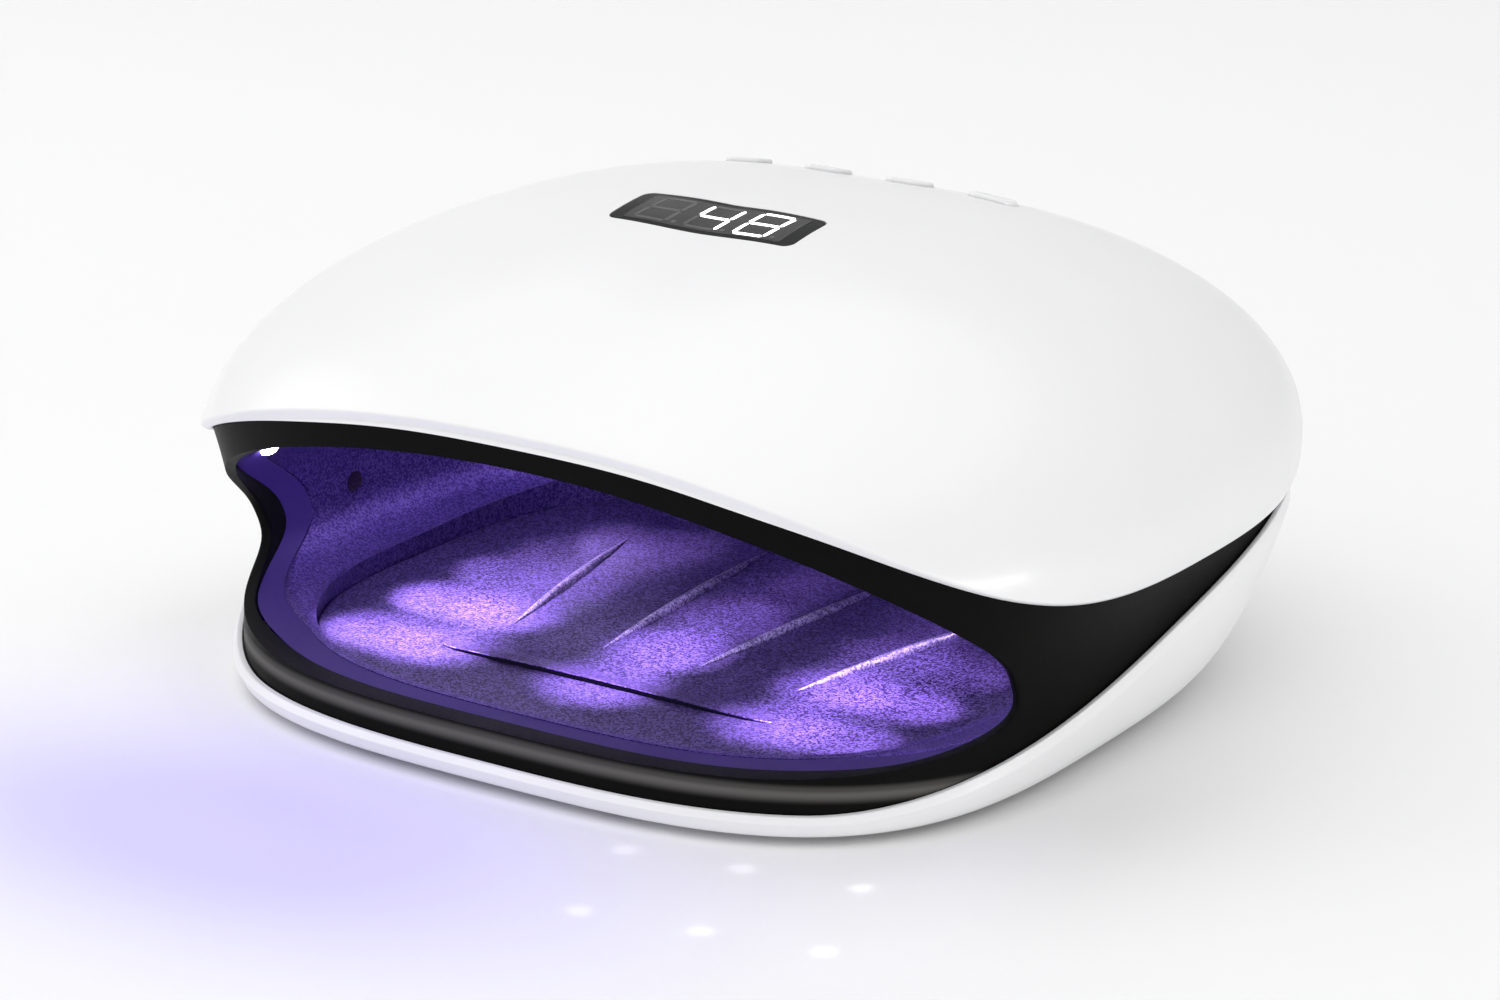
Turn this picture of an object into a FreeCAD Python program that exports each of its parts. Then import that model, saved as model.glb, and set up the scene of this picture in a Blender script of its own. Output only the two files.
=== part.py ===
"""Desk-top ultraviolet curing lamp for gel nail polish, as an assembly.

A white domed top shell, a black waisted bezel with a wide letter-box mouth and a white dished lower
housing close round a metallised curing chamber.  A magnetic tray with finger ridges drops out of the
bottom, four sprung buttons and a three-digit display sit on top, and the low-voltage inlet is at the rear.

Frame: millimetres, origin on the table under the centre of the lamp, +Z up, the mouth faces -Y.
"""
import FreeCAD
import Part
import math
import os

V = FreeCAD.Vector
os.makedirs("parts", exist_ok=True)

# ---- driving dimensions ----------------------------------------------------------------------------------
WIDEST_Y = -5.75                 # station of the shell's greatest width
POINTS_ROUND = 44                # points on each closed outline
MOUTH_POINTS = 36
# domed shell
DOME_HALF_WIDTH = 115.0
DOME_FRONT = 102.0               # reach forwards and backwards of the widest station
DOME_REAR = 108.05
DOME_EXPONENT = 2.6              # 2 is an ellipse, more is squarer
DOME_TOP = 104.0
EQUATOR_Z = 51.5
UNDERCUT_RADIUS = 40.0           # the side tucks in below the equator on this radius
CROWN_FRONT, CROWN_SIDE, CROWN_REAR = 1.65, 2.13, 1.83
CROWN_LEAN = 0.16                # the crown leans back this much for each millimetre of height
SHELL_WALL = 2.5
LIP_INSET = 1.2
LIP_TALL, LIP_SHORT = 2.8, 0.8   # height of the bevelled lip over the mouth and along the sides
# shell edge: level at the sides, arched over the mouth
EDGE_SIDE_Z = 44.4
EDGE_ARCH_Z = 72.6
EDGE_ARCH_EXPONENT = 3.1
EDGE_ARCH_START_Y, EDGE_ARCH_FULL_Y = 7.6, -96.6
# lower housing
BASE_Z = 1.6
BASE_HALF_WIDTH, RIM_HALF_WIDTH = 92.0, 114.5
BASE_FRONT_Y, RIM_FRONT_Y = -100.2, -106.8
BASE_REAR_Y, RIM_REAR_Y = 71.5, 101.0
BOWL_SPREAD, BOWL_SPREAD_FRONT = 0.5, 0.3   # below 1 the wall flares fast at the foot and slowly at the rim
BASE_WIDEST_Y = -24.0
BASE_EXPONENT = 3.2
RIM_FRONT_Z, RIM_REAR_Z = 6.2, 43.3
RIM_RISE_FROM, RIM_RISE_TO = -46.0, 33.0   # compass stretch over which the rim climbs
BEVEL_INSET, BEVEL_DROP, BEVEL_DROP_FRONT = 1.3, 3.4, 1.3
RUNNING_GAP = 0.3                # between nested shells
HOUSING_WALL = 2.4
# mouth, bezel and curing chamber
MOUTH_HALF_WIDTH = 98.0
MOUTH_WAIST_Z = 30.0
MOUTH_ABOVE, MOUTH_BELOW = 35.6, 17.6
MOUTH_UPPER_EXPONENT, MOUTH_LOWER_EXPONENT = 2.2, 4.5
BEZEL_WALL, BEZEL_WAIST, BEZEL_LIP = 2.4, 2.0, 3.2
CHAMBER_GROW = 0.4               # the chamber is this much larger than the mouth all round
CHAMBER_TURN_Y, CHAMBER_REAR_Y, CHAMBER_END_Y = -28.0, 74.0, 70.0
CHAMBER_EXPONENT = 2.5
LINER_WALL = 1.5
LED_ROWS = (-60.0, -36.0, -12.0, 12.0, 36.0)
LED_ANGLES = (26.0, 57.0, 90.0, 123.0, 154.0)
LENS_RADIUS, LENS_HOLE_RADIUS, LED_BOARD_RADIUS = 2.3, 2.6, 4.5
SEAM_Z = 34.0                    # the chamber parts here into a roof and a liner
SENSOR_Y, SENSOR_Z, SENSOR_RADIUS, SENSOR_HOLE_RADIUS = -20.0, 26.6, 2.6, 2.85
# tray that drops out of the bottom
TRAY_HALF_WIDTH, TRAY_FRONT, TRAY_REAR, TRAY_WIDEST_Y, TRAY_EXPONENT = 84.0, 70.2, 77.5, -15.75, 3.0
TRAY_TOP_Z, TRAY_SKIN = 10.6, 2.0
FLANGE_OUT, FLANGE_TOP_Z = 4.5, 4.0
LEDGE_LOW_Z, LEDGE_TOP_Z = 4.3, 6.3
TRAY_GAP = 0.6
FEET = [(-58.0, -58.0), (58.0, -58.0), (-56.0, 32.0), (56.0, 32.0)]
FOOT_RADIUS = 7.0
RIB_RADIUS = 2.2
FINGER_RIBS = [(12, -43, 18, 31), (37, -42, 50, 20)]   # x and y of both ends, mirrored to the left
REST_Y, REST_LENGTH, REST_WIDTH, REST_RISE, REST_CORNER = -58.5, 86.0, 7.0, 1.2, 2.2
STIFFENER_XS = (-56, -28, 0, 28, 56)
# controls
DISPLAY_Y, DISPLAY_WIDTH, DISPLAY_DEPTH, DISPLAY_CORNER = -16.4, 46.8, 15.6, 2.2
BUTTON_Y, BUTTON_PITCH, BUTTON_LONG, BUTTON_SHORT = 44.0, 21.5, 11.6, 6.4
KEY_RISE = 1.0                   # the keys stand this much above the shell
PRESS_FLANGE = 1.2               # thickness of the flange that keeps a key in its hole
BOARD_Z, BOARD_THICK = 76.0, 1.6
BOARD_TOP_Z = BOARD_Z + BOARD_THICK
PLUNGER_TOP_Z = BOARD_TOP_Z + 5.0
PLUNGER_RADIUS, STEM_RADIUS = 1.6, 2.0
# fixings, given by their x and y
SCREW_POSTS = [(-75.0, 59.0), (75.0, 59.0)]
POST_RADIUS, SHELL_POST_RADIUS, POST_MEET_Z = 5.0, 4.0, 30.0
BOARD_POSTS = [(-40.5, -29.0), (40.5, -29.0), (-40.5, 55.0), (40.5, 55.0)]
BOARD_POST_RADIUS = 2.6
BEZEL_SCREWS = [(-30.0, -95.6), (30.0, -95.6)]
# power inlet and vents at the rear
JACK_Z, JACK_FACE_Y, JACK_RADIUS = 24.0, 90.6, 5.0
LEAD_RADIUS = 1.5
VENT_START_X, VENT_PITCH, VENT_COUNT, VENT_WIDTH, VENT_LOW_Z, VENT_TALL = 26.0, 4.5, 7, 2.0, 17.0, 15.0


# ---- outlines --------------------------------------------------------------------------------------------
def smooth(low, high, value):
    """0 below low, 1 above high, an S between them."""
    share = min(1.0, max(0.0, (value - low) / (high - low)))
    return share * share * (3 - 2 * share)


def angles():
    """Compass angles round an outline in degrees, from the rear centre and back to it."""
    return [90 + 360.0 * i / POINTS_ROUND for i in range(POINTS_ROUND)]


def rounded_reach(angle, half_width, front, rear, exponent):
    """Point of a squared-off ellipse in the direction of angle, from its widest station."""
    cosine, sine = math.cos(math.radians(angle)), math.sin(math.radians(angle))
    reach_y = rear if sine > 0 else front
    size = (abs(cosine) / half_width) ** exponent + (abs(sine) / reach_y) ** exponent
    radius = size ** (-1.0 / exponent)
    return radius * cosine, radius * sine


def facing(angle):
    """The angle folded to -90 at the front and +90 at the rear, the same on both sides."""
    return math.degrees(math.asin(max(-1.0, min(1.0, math.sin(math.radians(angle))))))


def closed_wire(points):
    """Closed smooth curve through the points."""
    curve = Part.BSplineCurve()
    curve.interpolate(Points=[V(*p) for p in points], PeriodicFlag=True)
    return Part.Wire([curve.toShape()])


def flat_outline(z, half_width, front, rear, widest_y, exponent, inset=0.0):
    points = []
    for angle in angles():
        x, y = rounded_reach(angle, half_width - inset, front - inset, rear - inset, exponent)
        points.append((x, widest_y + y, z))
    return closed_wire(points)


def prism(wire, height):
    return Part.Face(wire).extrude(V(0, 0, height))


def loft_faces(sections, ruled=False):
    return Part.makeLoft(sections, False, ruled).Faces


def closed_body(faces):
    """One solid from faces that meet along shared curves."""
    shell = Part.makeCompound(faces)
    shell.sewShape()
    solid = Part.makeSolid(shell.Shells[0])
    if solid.Volume < 0:
        solid.reverse()
    return solid


# ---- dome ------------------------------------------------------------------------------------------------
def crown_exponent(angle):
    sine = math.sin(math.radians(angle))
    if sine < 0:
        return CROWN_SIDE + (CROWN_FRONT - CROWN_SIDE) * sine * sine
    return CROWN_SIDE + (CROWN_REAR - CROWN_SIDE) * sine * sine


def dome_point(angle, z, inset=0.0):
    """Point of the domed surface at a compass angle and a height; inset gives a surface inside it."""
    top = DOME_TOP - inset
    if z >= EQUATOR_Z:
        exponent = crown_exponent(angle)
        up = min(1.0, (z - EQUATOR_Z) / (top - EQUATOR_Z))
        scale = (1 - up ** exponent) ** (1 / exponent)
    else:
        scale = math.sqrt(1 - ((EQUATOR_Z - z) / UNDERCUT_RADIUS) ** 2)
    x, y = rounded_reach(
        angle, DOME_HALF_WIDTH - inset, DOME_FRONT - inset, DOME_REAR - inset, DOME_EXPONENT)
    return x * scale, WIDEST_Y + y * scale + CROWN_LEAN * max(0.0, z - EQUATOR_Z), z


def crown_height(x, y, inset=0.0):
    """Height of the domed surface over a point of the plan, by halving."""
    low, high = EQUATOR_Z, DOME_TOP - inset
    for _ in range(40):
        middle = (low + high) / 2
        offset = y - WIDEST_Y - CROWN_LEAN * (middle - EQUATOR_Z)
        edge = dome_point(math.degrees(math.atan2(offset, x)), middle, inset)
        inside = math.hypot(x, offset) < math.hypot(edge[0], edge[1] - (y - offset))
        low, high = (middle, high) if inside else (low, middle)
    return low


def edge_height(angle):
    """Height of the shell's crease: level along the sides, arched over the mouth."""
    x, y = rounded_reach(angle, DOME_HALF_WIDTH, DOME_FRONT, DOME_REAR, DOME_EXPONENT)
    forward = smooth(-EDGE_ARCH_START_Y, -EDGE_ARCH_FULL_Y, -(WIDEST_Y + y))
    arch = 1 - (abs(x) / DOME_HALF_WIDTH) ** EDGE_ARCH_EXPONENT
    return EDGE_SIDE_Z + (EDGE_ARCH_Z - EDGE_SIDE_Z) * arch * forward


def lip_height(angle):
    return LIP_SHORT + (LIP_TALL - LIP_SHORT) * smooth(28, 62, -facing(angle))


def shell_edge(angle, inset):
    """Point of the shell's lower edge, moved in from the crease."""
    x, y, z = dome_point(angle, edge_height(angle))
    reach = math.hypot(x, y - WIDEST_Y)
    keep = 1 - inset / reach
    return x * keep, WIDEST_Y + (y - WIDEST_Y) * keep, z - lip_height(angle)


def crown_sections(inset):
    """Outlines of the dome from its edge to near the top, then the top point."""
    sections = []
    top = DOME_TOP - inset
    for climb in (0, 13, 26, 39, 51, 62, 72, 80, 86):
        ring = []
        for angle in angles():
            start = edge_height(angle) - (lip_height(angle) if inset else 0.0)
            z = start + (top - start) * math.sin(math.radians(climb))
            ring.append(dome_point(angle, z, inset))
        sections.append(closed_wire(ring))
    apex = V(0, WIDEST_Y + CROWN_LEAN * (top - EQUATOR_Z), top)
    return sections + [Part.Vertex(apex)]


def pill(x, y, z, long, short, height):
    """Upright pill-shaped block with round ends, its long side along X."""
    radius, half = short / 2, (long - short) / 2
    bottom = Part.LineSegment(V(x - half, y - radius, z), V(x + half, y - radius, z))
    right = Part.Arc(V(x + half, y - radius, z), V(x + half + radius, y, z), V(x + half, y + radius, z))
    top = Part.LineSegment(V(x + half, y + radius, z), V(x - half, y + radius, z))
    left = Part.Arc(V(x - half, y + radius, z), V(x - half - radius, y, z), V(x - half, y - radius, z))
    wire = Part.Wire([e.toShape() for e in (bottom, right, top, left)])
    return prism(wire, height)


def rounded_block(x0, x1, y0, y1, z0, z1, radius):
    block = Part.makeBox(x1 - x0, y1 - y0, z1 - z0, V(x0, y0, z0))
    upright = [e for e in block.Edges if abs(e.tangentAt(e.FirstParameter).z) > 0.9]
    return block.makeFillet(radius, upright)


def button_xs():
    return [(i - 1.5) * BUTTON_PITCH for i in range(4)]


def display_tool(grow, z0, z1):
    half_x, half_y = DISPLAY_WIDTH / 2 + grow, DISPLAY_DEPTH / 2 + grow
    return rounded_block(
        -half_x, half_x, DISPLAY_Y - half_y, DISPLAY_Y + half_y, z0, z1, DISPLAY_CORNER + grow)


def pan_point(angle, z, inset=0.0):
    """Point of the dished lower housing's wall."""
    rise = max(0.0, (z - BASE_Z) / (EDGE_SIDE_Z - BASE_Z))
    side, front = rise ** BOWL_SPREAD, rise ** BOWL_SPREAD_FRONT
    half_width = BASE_HALF_WIDTH + (RIM_HALF_WIDTH - BASE_HALF_WIDTH) * side - inset
    widest_y = BASE_WIDEST_Y + (WIDEST_Y - BASE_WIDEST_Y) * side
    front_y = BASE_FRONT_Y + (RIM_FRONT_Y - BASE_FRONT_Y) * front + inset
    rear_y = BASE_REAR_Y + (RIM_REAR_Y - BASE_REAR_Y) * side - inset
    exponent = BASE_EXPONENT + (DOME_EXPONENT - BASE_EXPONENT) * side
    x, y = rounded_reach(angle, half_width, widest_y - front_y, rear_y - widest_y, exponent)
    return x, widest_y + y, z


def rim_height(angle):
    """Height of the lower housing's rim: low across the front, climbing along the sides."""
    return RIM_FRONT_Z + (RIM_REAR_Z - RIM_FRONT_Z) * smooth(RIM_RISE_FROM, RIM_RISE_TO, facing(angle))


def bevel_drop(angle):
    return BEVEL_DROP_FRONT + (BEVEL_DROP - BEVEL_DROP_FRONT) * smooth(-45, -5, facing(angle))


def top_shell():
    outer = crown_sections(0.0)
    inner = crown_sections(SHELL_WALL)
    lip = closed_wire([shell_edge(a, LIP_INSET) for a in angles()])
    faces = loft_faces(outer) + loft_faces(inner)
    faces += loft_faces([outer[0], lip], True) + loft_faces([lip, inner[0]], True)
    shell = closed_body(faces)
    for x, y in SCREW_POSTS + BOARD_POSTS:
        holds_housing = (x, y) in SCREW_POSTS
        radius = SHELL_POST_RADIUS if holds_housing else BOARD_POST_RADIUS
        foot = POST_MEET_Z if holds_housing else BOARD_TOP_Z
        spots = [(x + i * radius, y + j * radius) for i in (-1, 0, 1) for j in (-1, 0, 1)]
        head = min(crown_height(a, b) for a, b in spots) - 0.9
        post = Part.makeCylinder(radius, head - foot, V(x, y, foot))
        post = post.cut(Part.makeCylinder(radius * 0.42, 9, V(x, y, foot)))
        shell = shell.fuse(post)
    shell = shell.cut(display_tool(0.25, 80, 120))
    for x in button_xs():
        shell = shell.cut(pill(x, BUTTON_Y, 80, BUTTON_LONG + 0.6, BUTTON_SHORT + 0.6, 40))
    return shell


# ---- lower housing ---------------------------------------------------------------------------------------
def tray_outline(z, grow):
    """Outline of the tray at one height, grown outwards."""
    return flat_outline(z, TRAY_HALF_WIDTH, TRAY_FRONT, TRAY_REAR, TRAY_WIDEST_Y, TRAY_EXPONENT, -grow)


def tray_block(z0, z1, grow):
    return prism(tray_outline(z0, grow), z1 - z0)


def bowl(inset, foot_z, drop):
    """Rings up the housing's wall from the foot to the rim, or to the foot of the rim's bevel."""
    rings = []
    for share in (0, 0.06, 0.2, 0.45, 0.72, 1):
        ring = []
        for angle in angles():
            top = rim_height(angle) - (bevel_drop(angle) if drop else 0.0)
            ring.append(pan_point(angle, foot_z + (top - foot_z) * share, inset))
        rings.append(closed_wire(ring))
    return rings


def lower_housing():
    floor_z = BASE_Z + HOUSING_WALL
    outer = bowl(0.0, BASE_Z, True)
    inner = bowl(HOUSING_WALL, floor_z, False)
    crest = closed_wire([pan_point(a, rim_height(a), BEVEL_INSET) for a in angles()])
    faces = loft_faces(outer, True) + loft_faces(inner, True)
    faces += loft_faces([outer[-1], crest], True) + loft_faces([crest, inner[-1]], True)
    faces += [Part.Face(outer[0]), Part.Face(inner[0])]
    housing = closed_body(faces)
    rear_wall = Part.makeCylinder(9.0, 40, V(0, 84, JACK_Z), V(0, 1, 0))
    envelope = closed_body(loft_faces(outer, True) + [Part.Face(outer[0]), *loft_faces(
        [outer[-1], Part.Vertex(V(0, 0, 90))], True)])
    housing = housing.fuse(tray_block(floor_z - 0.5, LEDGE_TOP_Z, FLANGE_OUT + 3))
    for x, y in SCREW_POSTS:
        housing = housing.fuse(Part.makeCylinder(POST_RADIUS, POST_MEET_Z - 2.3, V(x, y, 2.0)).common(envelope))
    housing = housing.fuse(rear_wall.common(envelope))
    cuts = [tray_block(0, LEDGE_LOW_Z, FLANGE_OUT + TRAY_GAP), tray_block(0, 12, TRAY_GAP)]
    for x, y in SCREW_POSTS:
        cuts.append(Part.makeCylinder(1.9, 40, V(x, y, 0)))
        cuts.append(Part.makeCylinder(3.8, 8.5, V(x, y, 0)))
    for x, y in BEZEL_SCREWS:
        cuts.append(Part.makeCylinder(1.5, 12, V(x, y, 0)))
        cuts.append(Part.makeCylinder(2.6, 1.5, V(x, y, BASE_Z)))
    cuts.append(Part.makeCylinder(9.0, 20, V(0, JACK_FACE_Y, JACK_Z), V(0, 1, 0)))
    cuts.append(Part.makeCylinder(JACK_RADIUS + 0.2, 40, V(0, 70, JACK_Z), V(0, 1, 0)))
    for side in (-1, 1):
        for i in range(VENT_COUNT):
            left = side * (VENT_START_X + VENT_PITCH * i) - VENT_WIDTH / 2
            cuts.append(Part.makeBox(VENT_WIDTH, 40, VENT_TALL, V(left, 80, VENT_LOW_Z)))
    for x, y, long_x in magnet_places():
        cuts.append(magnet(x, y, LEDGE_LOW_Z - 0.5, 2.1, long_x, 0.1))
    for tool in cuts:
        housing = housing.cut(tool)
    return housing


# ---- bezel -----------------------------------------------------------------------------------------------
def pull_in(point, inset):
    x, y, z = point
    keep = 1 - inset / math.hypot(x, y - WIDEST_Y)
    return x * keep, WIDEST_Y + (y - WIDEST_Y) * keep, z


def bezel_point(angle, z, wall=0.0):
    """Point of the bezel: inside both shells where it is tucked in, waisted in between."""
    low, high = rim_height(angle), edge_height(angle) - lip_height(angle)
    if z >= high:
        return pull_in(dome_point(angle, z, SHELL_WALL + RUNNING_GAP), wall)
    if z <= low:
        return pull_in(pan_point(angle, z, HOUSING_WALL + RUNNING_GAP), wall + lower_lip(angle, z, wall))
    share = (z - low) / (high - low)
    foot = pan_point(angle, low, HOUSING_WALL + RUNNING_GAP)
    head = dome_point(angle, high, SHELL_WALL + RUNNING_GAP)
    waist = BEZEL_WAIST * 4 * share * (1 - share) * min(1.0, (high - low) / 30)
    between = [f + (h - f) * share for f, h in zip(foot, head)]
    return pull_in(between, waist + wall + lower_lip(angle, z, wall))


def lower_lip(angle, z, wall):
    """Extra thickness of the bezel under the mouth."""
    if not wall:
        return 0.0
    return BEZEL_LIP * smooth(25, 45, -facing(angle)) * (1 - smooth(12, 16, z))


def bezel_rings(wall):
    rings = []
    for step in (-1, 0, 0.08, 0.16, 0.3, 0.5, 0.7, 0.86, 1, 2):
        ring = []
        for angle in angles():
            low, high = rim_height(angle), edge_height(angle) - lip_height(angle)
            z = low + (high - low) * min(1, max(0, step))
            if step < 0:
                z = max(BASE_Z + HOUSING_WALL + 0.5, low - 3)
            if step > 1:
                z = high + 3
            ring.append(bezel_point(angle, z, wall))
        rings.append(closed_wire(ring))
    return rings


def mouth_edge(turn, grow):
    """Point of the mouth's outline, x and z, at an angle about its widest height."""
    cosine, sine = math.cos(math.radians(turn)), math.sin(math.radians(turn))
    exponent = MOUTH_UPPER_EXPONENT if sine > 0 else MOUTH_LOWER_EXPONENT
    reach_z = (MOUTH_ABOVE if sine > 0 else MOUTH_BELOW) + grow
    x = (MOUTH_HALF_WIDTH + grow) * math.copysign(abs(cosine) ** (2 / exponent), cosine)
    return x, MOUTH_WAIST_Z + reach_z * math.copysign(abs(sine) ** (2 / exponent), sine)


def turns():
    """Angles round the mouth and the chamber."""
    return [360.0 * i / MOUTH_POINTS for i in range(MOUTH_POINTS)]


def front_bezel():
    outer, inner = bezel_rings(0.0), bezel_rings(BEZEL_WALL)
    faces = loft_faces(outer, True) + loft_faces(inner, True)
    faces += loft_faces([outer[0], inner[0]], True) + loft_faces([outer[-1], inner[-1]], True)
    bezel = closed_body(faces)
    for x, y in BEZEL_SCREWS:
        bezel = bezel.fuse(Part.makeBox(8, 6.5, 3.0, V(x - 4, y - 3, 6.4)))
    mouth = closed_wire([(x, -140, z) for x, z in (mouth_edge(t, 0.0) for t in turns())])
    bezel = bezel.cut(Part.Face(mouth).extrude(V(0, 100, 0)))
    for x, y in BEZEL_SCREWS:
        bezel = bezel.cut(Part.makeCylinder(1.3, 9, V(x, y, 2)))
    return bezel


# ---- curing chamber --------------------------------------------------------------------------------------
def behind_bezel(x, z):
    """Y of the bezel's inner face at a given x and z, by halving."""
    low, high = -90.0, 0.0
    for _ in range(40):
        middle = (low + high) / 2
        if bezel_point(middle, z, BEZEL_WALL)[0] < abs(x):
            low = middle
        else:
            high = middle
    return bezel_point(low, z, BEZEL_WALL)[1]


def chamber_ring(y, grow):
    """Chamber section at one station, shrinking towards the rounded rear."""
    share = max(0.0, (y - CHAMBER_TURN_Y) / (CHAMBER_REAR_Y + grow - CHAMBER_TURN_Y))
    scale = (1 - share ** CHAMBER_EXPONENT) ** (1 / CHAMBER_EXPONENT)
    ring = []
    for turn in turns():
        x, z = mouth_edge(turn, CHAMBER_GROW + grow)
        ring.append((x * scale, y, MOUTH_WAIST_Z + (z - MOUTH_WAIST_Z) * scale))
    return ring


def chamber_rings(grow):
    """The chamber's front edge, which follows the bezel, and its sections from the turn to the flat rear."""
    front = []
    for turn in turns():
        x, z = mouth_edge(turn, CHAMBER_GROW + grow)
        front.append((x, behind_bezel(x, z) + RUNNING_GAP + 0.2, z))
    stations = [CHAMBER_TURN_Y, -10, 8, 24, 38, 50, 60, CHAMBER_END_Y + grow]
    return closed_wire(front), [closed_wire(chamber_ring(y, grow)) for y in stations]


def chamber_faces(grow):
    """Wall faces of the chamber and the flat at its rear."""
    front, rings = chamber_rings(grow)
    return loft_faces([front, rings[0]], True) + loft_faces(rings) + [Part.Face(rings[-1])]


def chamber_spot(turn, y, out):
    """A point a little outside the chamber's wall and the outward direction there."""
    def at(angle, station, grow):
        share = max(0.0, (station - CHAMBER_TURN_Y) / (CHAMBER_REAR_Y + grow - CHAMBER_TURN_Y))
        scale = (1 - share ** CHAMBER_EXPONENT) ** (1 / CHAMBER_EXPONENT)
        x, z = mouth_edge(angle, CHAMBER_GROW + grow)
        return V(x * scale, station, MOUTH_WAIST_Z + (z - MOUTH_WAIST_Z) * scale)
    here = at(turn, y, 0.0)
    normal = (at(turn + 0.5, y, 0.0) - here).cross(at(turn, y + 0.5, 0.0) - here)
    normal.normalize()
    if normal.dot(here - V(0, 0, MOUTH_WAIST_Z)) < 0:
        normal = normal * -1
    return here + normal * out, normal


def led_places():
    return [(turn, y) for y in LED_ROWS for turn in LED_ANGLES]


def chamber_shell():
    """The whole thin chamber, before it is parted at its seam."""
    edges = [chamber_rings(grow)[0] for grow in (0.0, LINER_WALL)]
    return closed_body(chamber_faces(0.0) + chamber_faces(LINER_WALL) + loft_faces(edges, True))


def slab(z0, z1):
    return Part.makeBox(400, 400, z1 - z0, V(-200, -200, z0))


def reflector_roof():
    """Upper half of the chamber, with a hole for each light."""
    roof = chamber_shell().common(slab(SEAM_Z + 0.1, 120))
    for turn, y in led_places():
        start, normal = chamber_spot(turn, y, -4.0)
        roof = roof.cut(Part.makeCylinder(LENS_HOLE_RADIUS, 12, start, normal))
    return roof


def chamber_liner():
    """Lower half of the chamber: side walls, front ledge and the skirt that frames the tray."""
    liner = chamber_shell().common(slab(0, SEAM_Z - 0.1))
    middle = LINER_WALL / 2
    front, rings = chamber_rings(middle)
    cap = Part.makeLoft([front, Part.Vertex(V(0, -200, MOUTH_WAIST_Z))], False, True).Faces
    cavity = closed_body(chamber_faces(middle) + cap)
    skirt = tray_block(LEDGE_TOP_Z, 24, TRAY_GAP + LINER_WALL).cut(cavity)
    liner = liner.fuse(skirt).cut(tray_block(0, 24, TRAY_GAP))
    for side in (-1, 1):
        inside = V(side * 92, SENSOR_Y, SENSOR_Z)
        liner = liner.cut(Part.makeCylinder(SENSOR_HOLE_RADIUS, 12, inside, V(side, 0, 0)))
    return liner


def led_beads():
    beads = []
    for turn, y in led_places():
        start, normal = chamber_spot(turn, y, -0.6)
        bead = Part.makeCylinder(LENS_RADIUS, LINER_WALL + 0.6, start, normal)
        dome = Part.makeSphere(3.2, start + normal * 2.2)
        cap = Part.makeCylinder(LENS_RADIUS, 1.2, start - normal * 1.2, normal).common(dome)
        beads.append(bead.fuse(cap).removeSplitter())
    return Part.makeCompound(beads)


def led_boards():
    boards = []
    for turn, y in led_places():
        start, normal = chamber_spot(turn, y, LINER_WALL + 0.1)
        boards.append(Part.makeCylinder(LED_BOARD_RADIUS, 1.0, start, normal))
    return Part.makeCompound(boards)


def ir_sensors():
    eyes = []
    for side in (-1, 1):
        eyes.append(Part.makeCylinder(SENSOR_RADIUS, 3.6, V(side * 98.2, SENSOR_Y, SENSOR_Z), V(side, 0, 0)))
    return Part.makeCompound(eyes)


# ---- tray ------------------------------------------------------------------------------------------------
def magnet(x, y, z, height, long_x, grow=0.0):
    dx, dy = (5.0, 1.3) if long_x else (1.3, 5.0)
    return Part.makeBox(2 * (dx + grow), 2 * (dy + grow), height, V(x - dx - grow, y - dy - grow, z))


def magnet_places():
    """Bar magnets in the flange: two on each side, two at the front and two at the rear."""
    side_x = TRAY_HALF_WIDTH + 2.55
    places = [(s * side_x, TRAY_WIDEST_Y + d, False) for s in (-1, 1) for d in (-12, 12)]
    for x in (-16, 16):
        places.append((x, TRAY_WIDEST_Y - TRAY_FRONT - 2.4, True))
        places.append((x, TRAY_WIDEST_Y + TRAY_REAR + 2.4, True))
    return places


def ridge(x0, y0, x1, y1):
    """Rounded finger rib lying on the tray."""
    start, along = V(x0, y0, TRAY_TOP_Z - 0.8), V(x1 - x0, y1 - y0, 0)
    bar = Part.makeCylinder(RIB_RADIUS, along.Length, start, along)
    ends = [Part.makeSphere(RIB_RADIUS, spot) for spot in (start, start + along)]
    return bar.fuse(ends)


def finger_rest():
    """Low wedge across the tray: its front edge stands up as a step and its back runs out to nothing."""
    half_x, half_y, sunk = REST_LENGTH / 2, REST_WIDTH / 2, 0.5
    profile = [(-half_y, -sunk), (-half_y, REST_RISE), (half_y, 0.0), (half_y, -sunk)]
    points = [V(-half_x, REST_Y + y, TRAY_TOP_Z + z) for y, z in profile]
    wedge = Part.Face(Part.makePolygon(points + points[:1])).extrude(V(REST_LENGTH, 0, 0))
    outline = rounded_block(
        -half_x, half_x, REST_Y - half_y, REST_Y + half_y, TRAY_TOP_Z - 3, TRAY_TOP_Z + 3, REST_CORNER)
    return wedge.common(outline)


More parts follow.
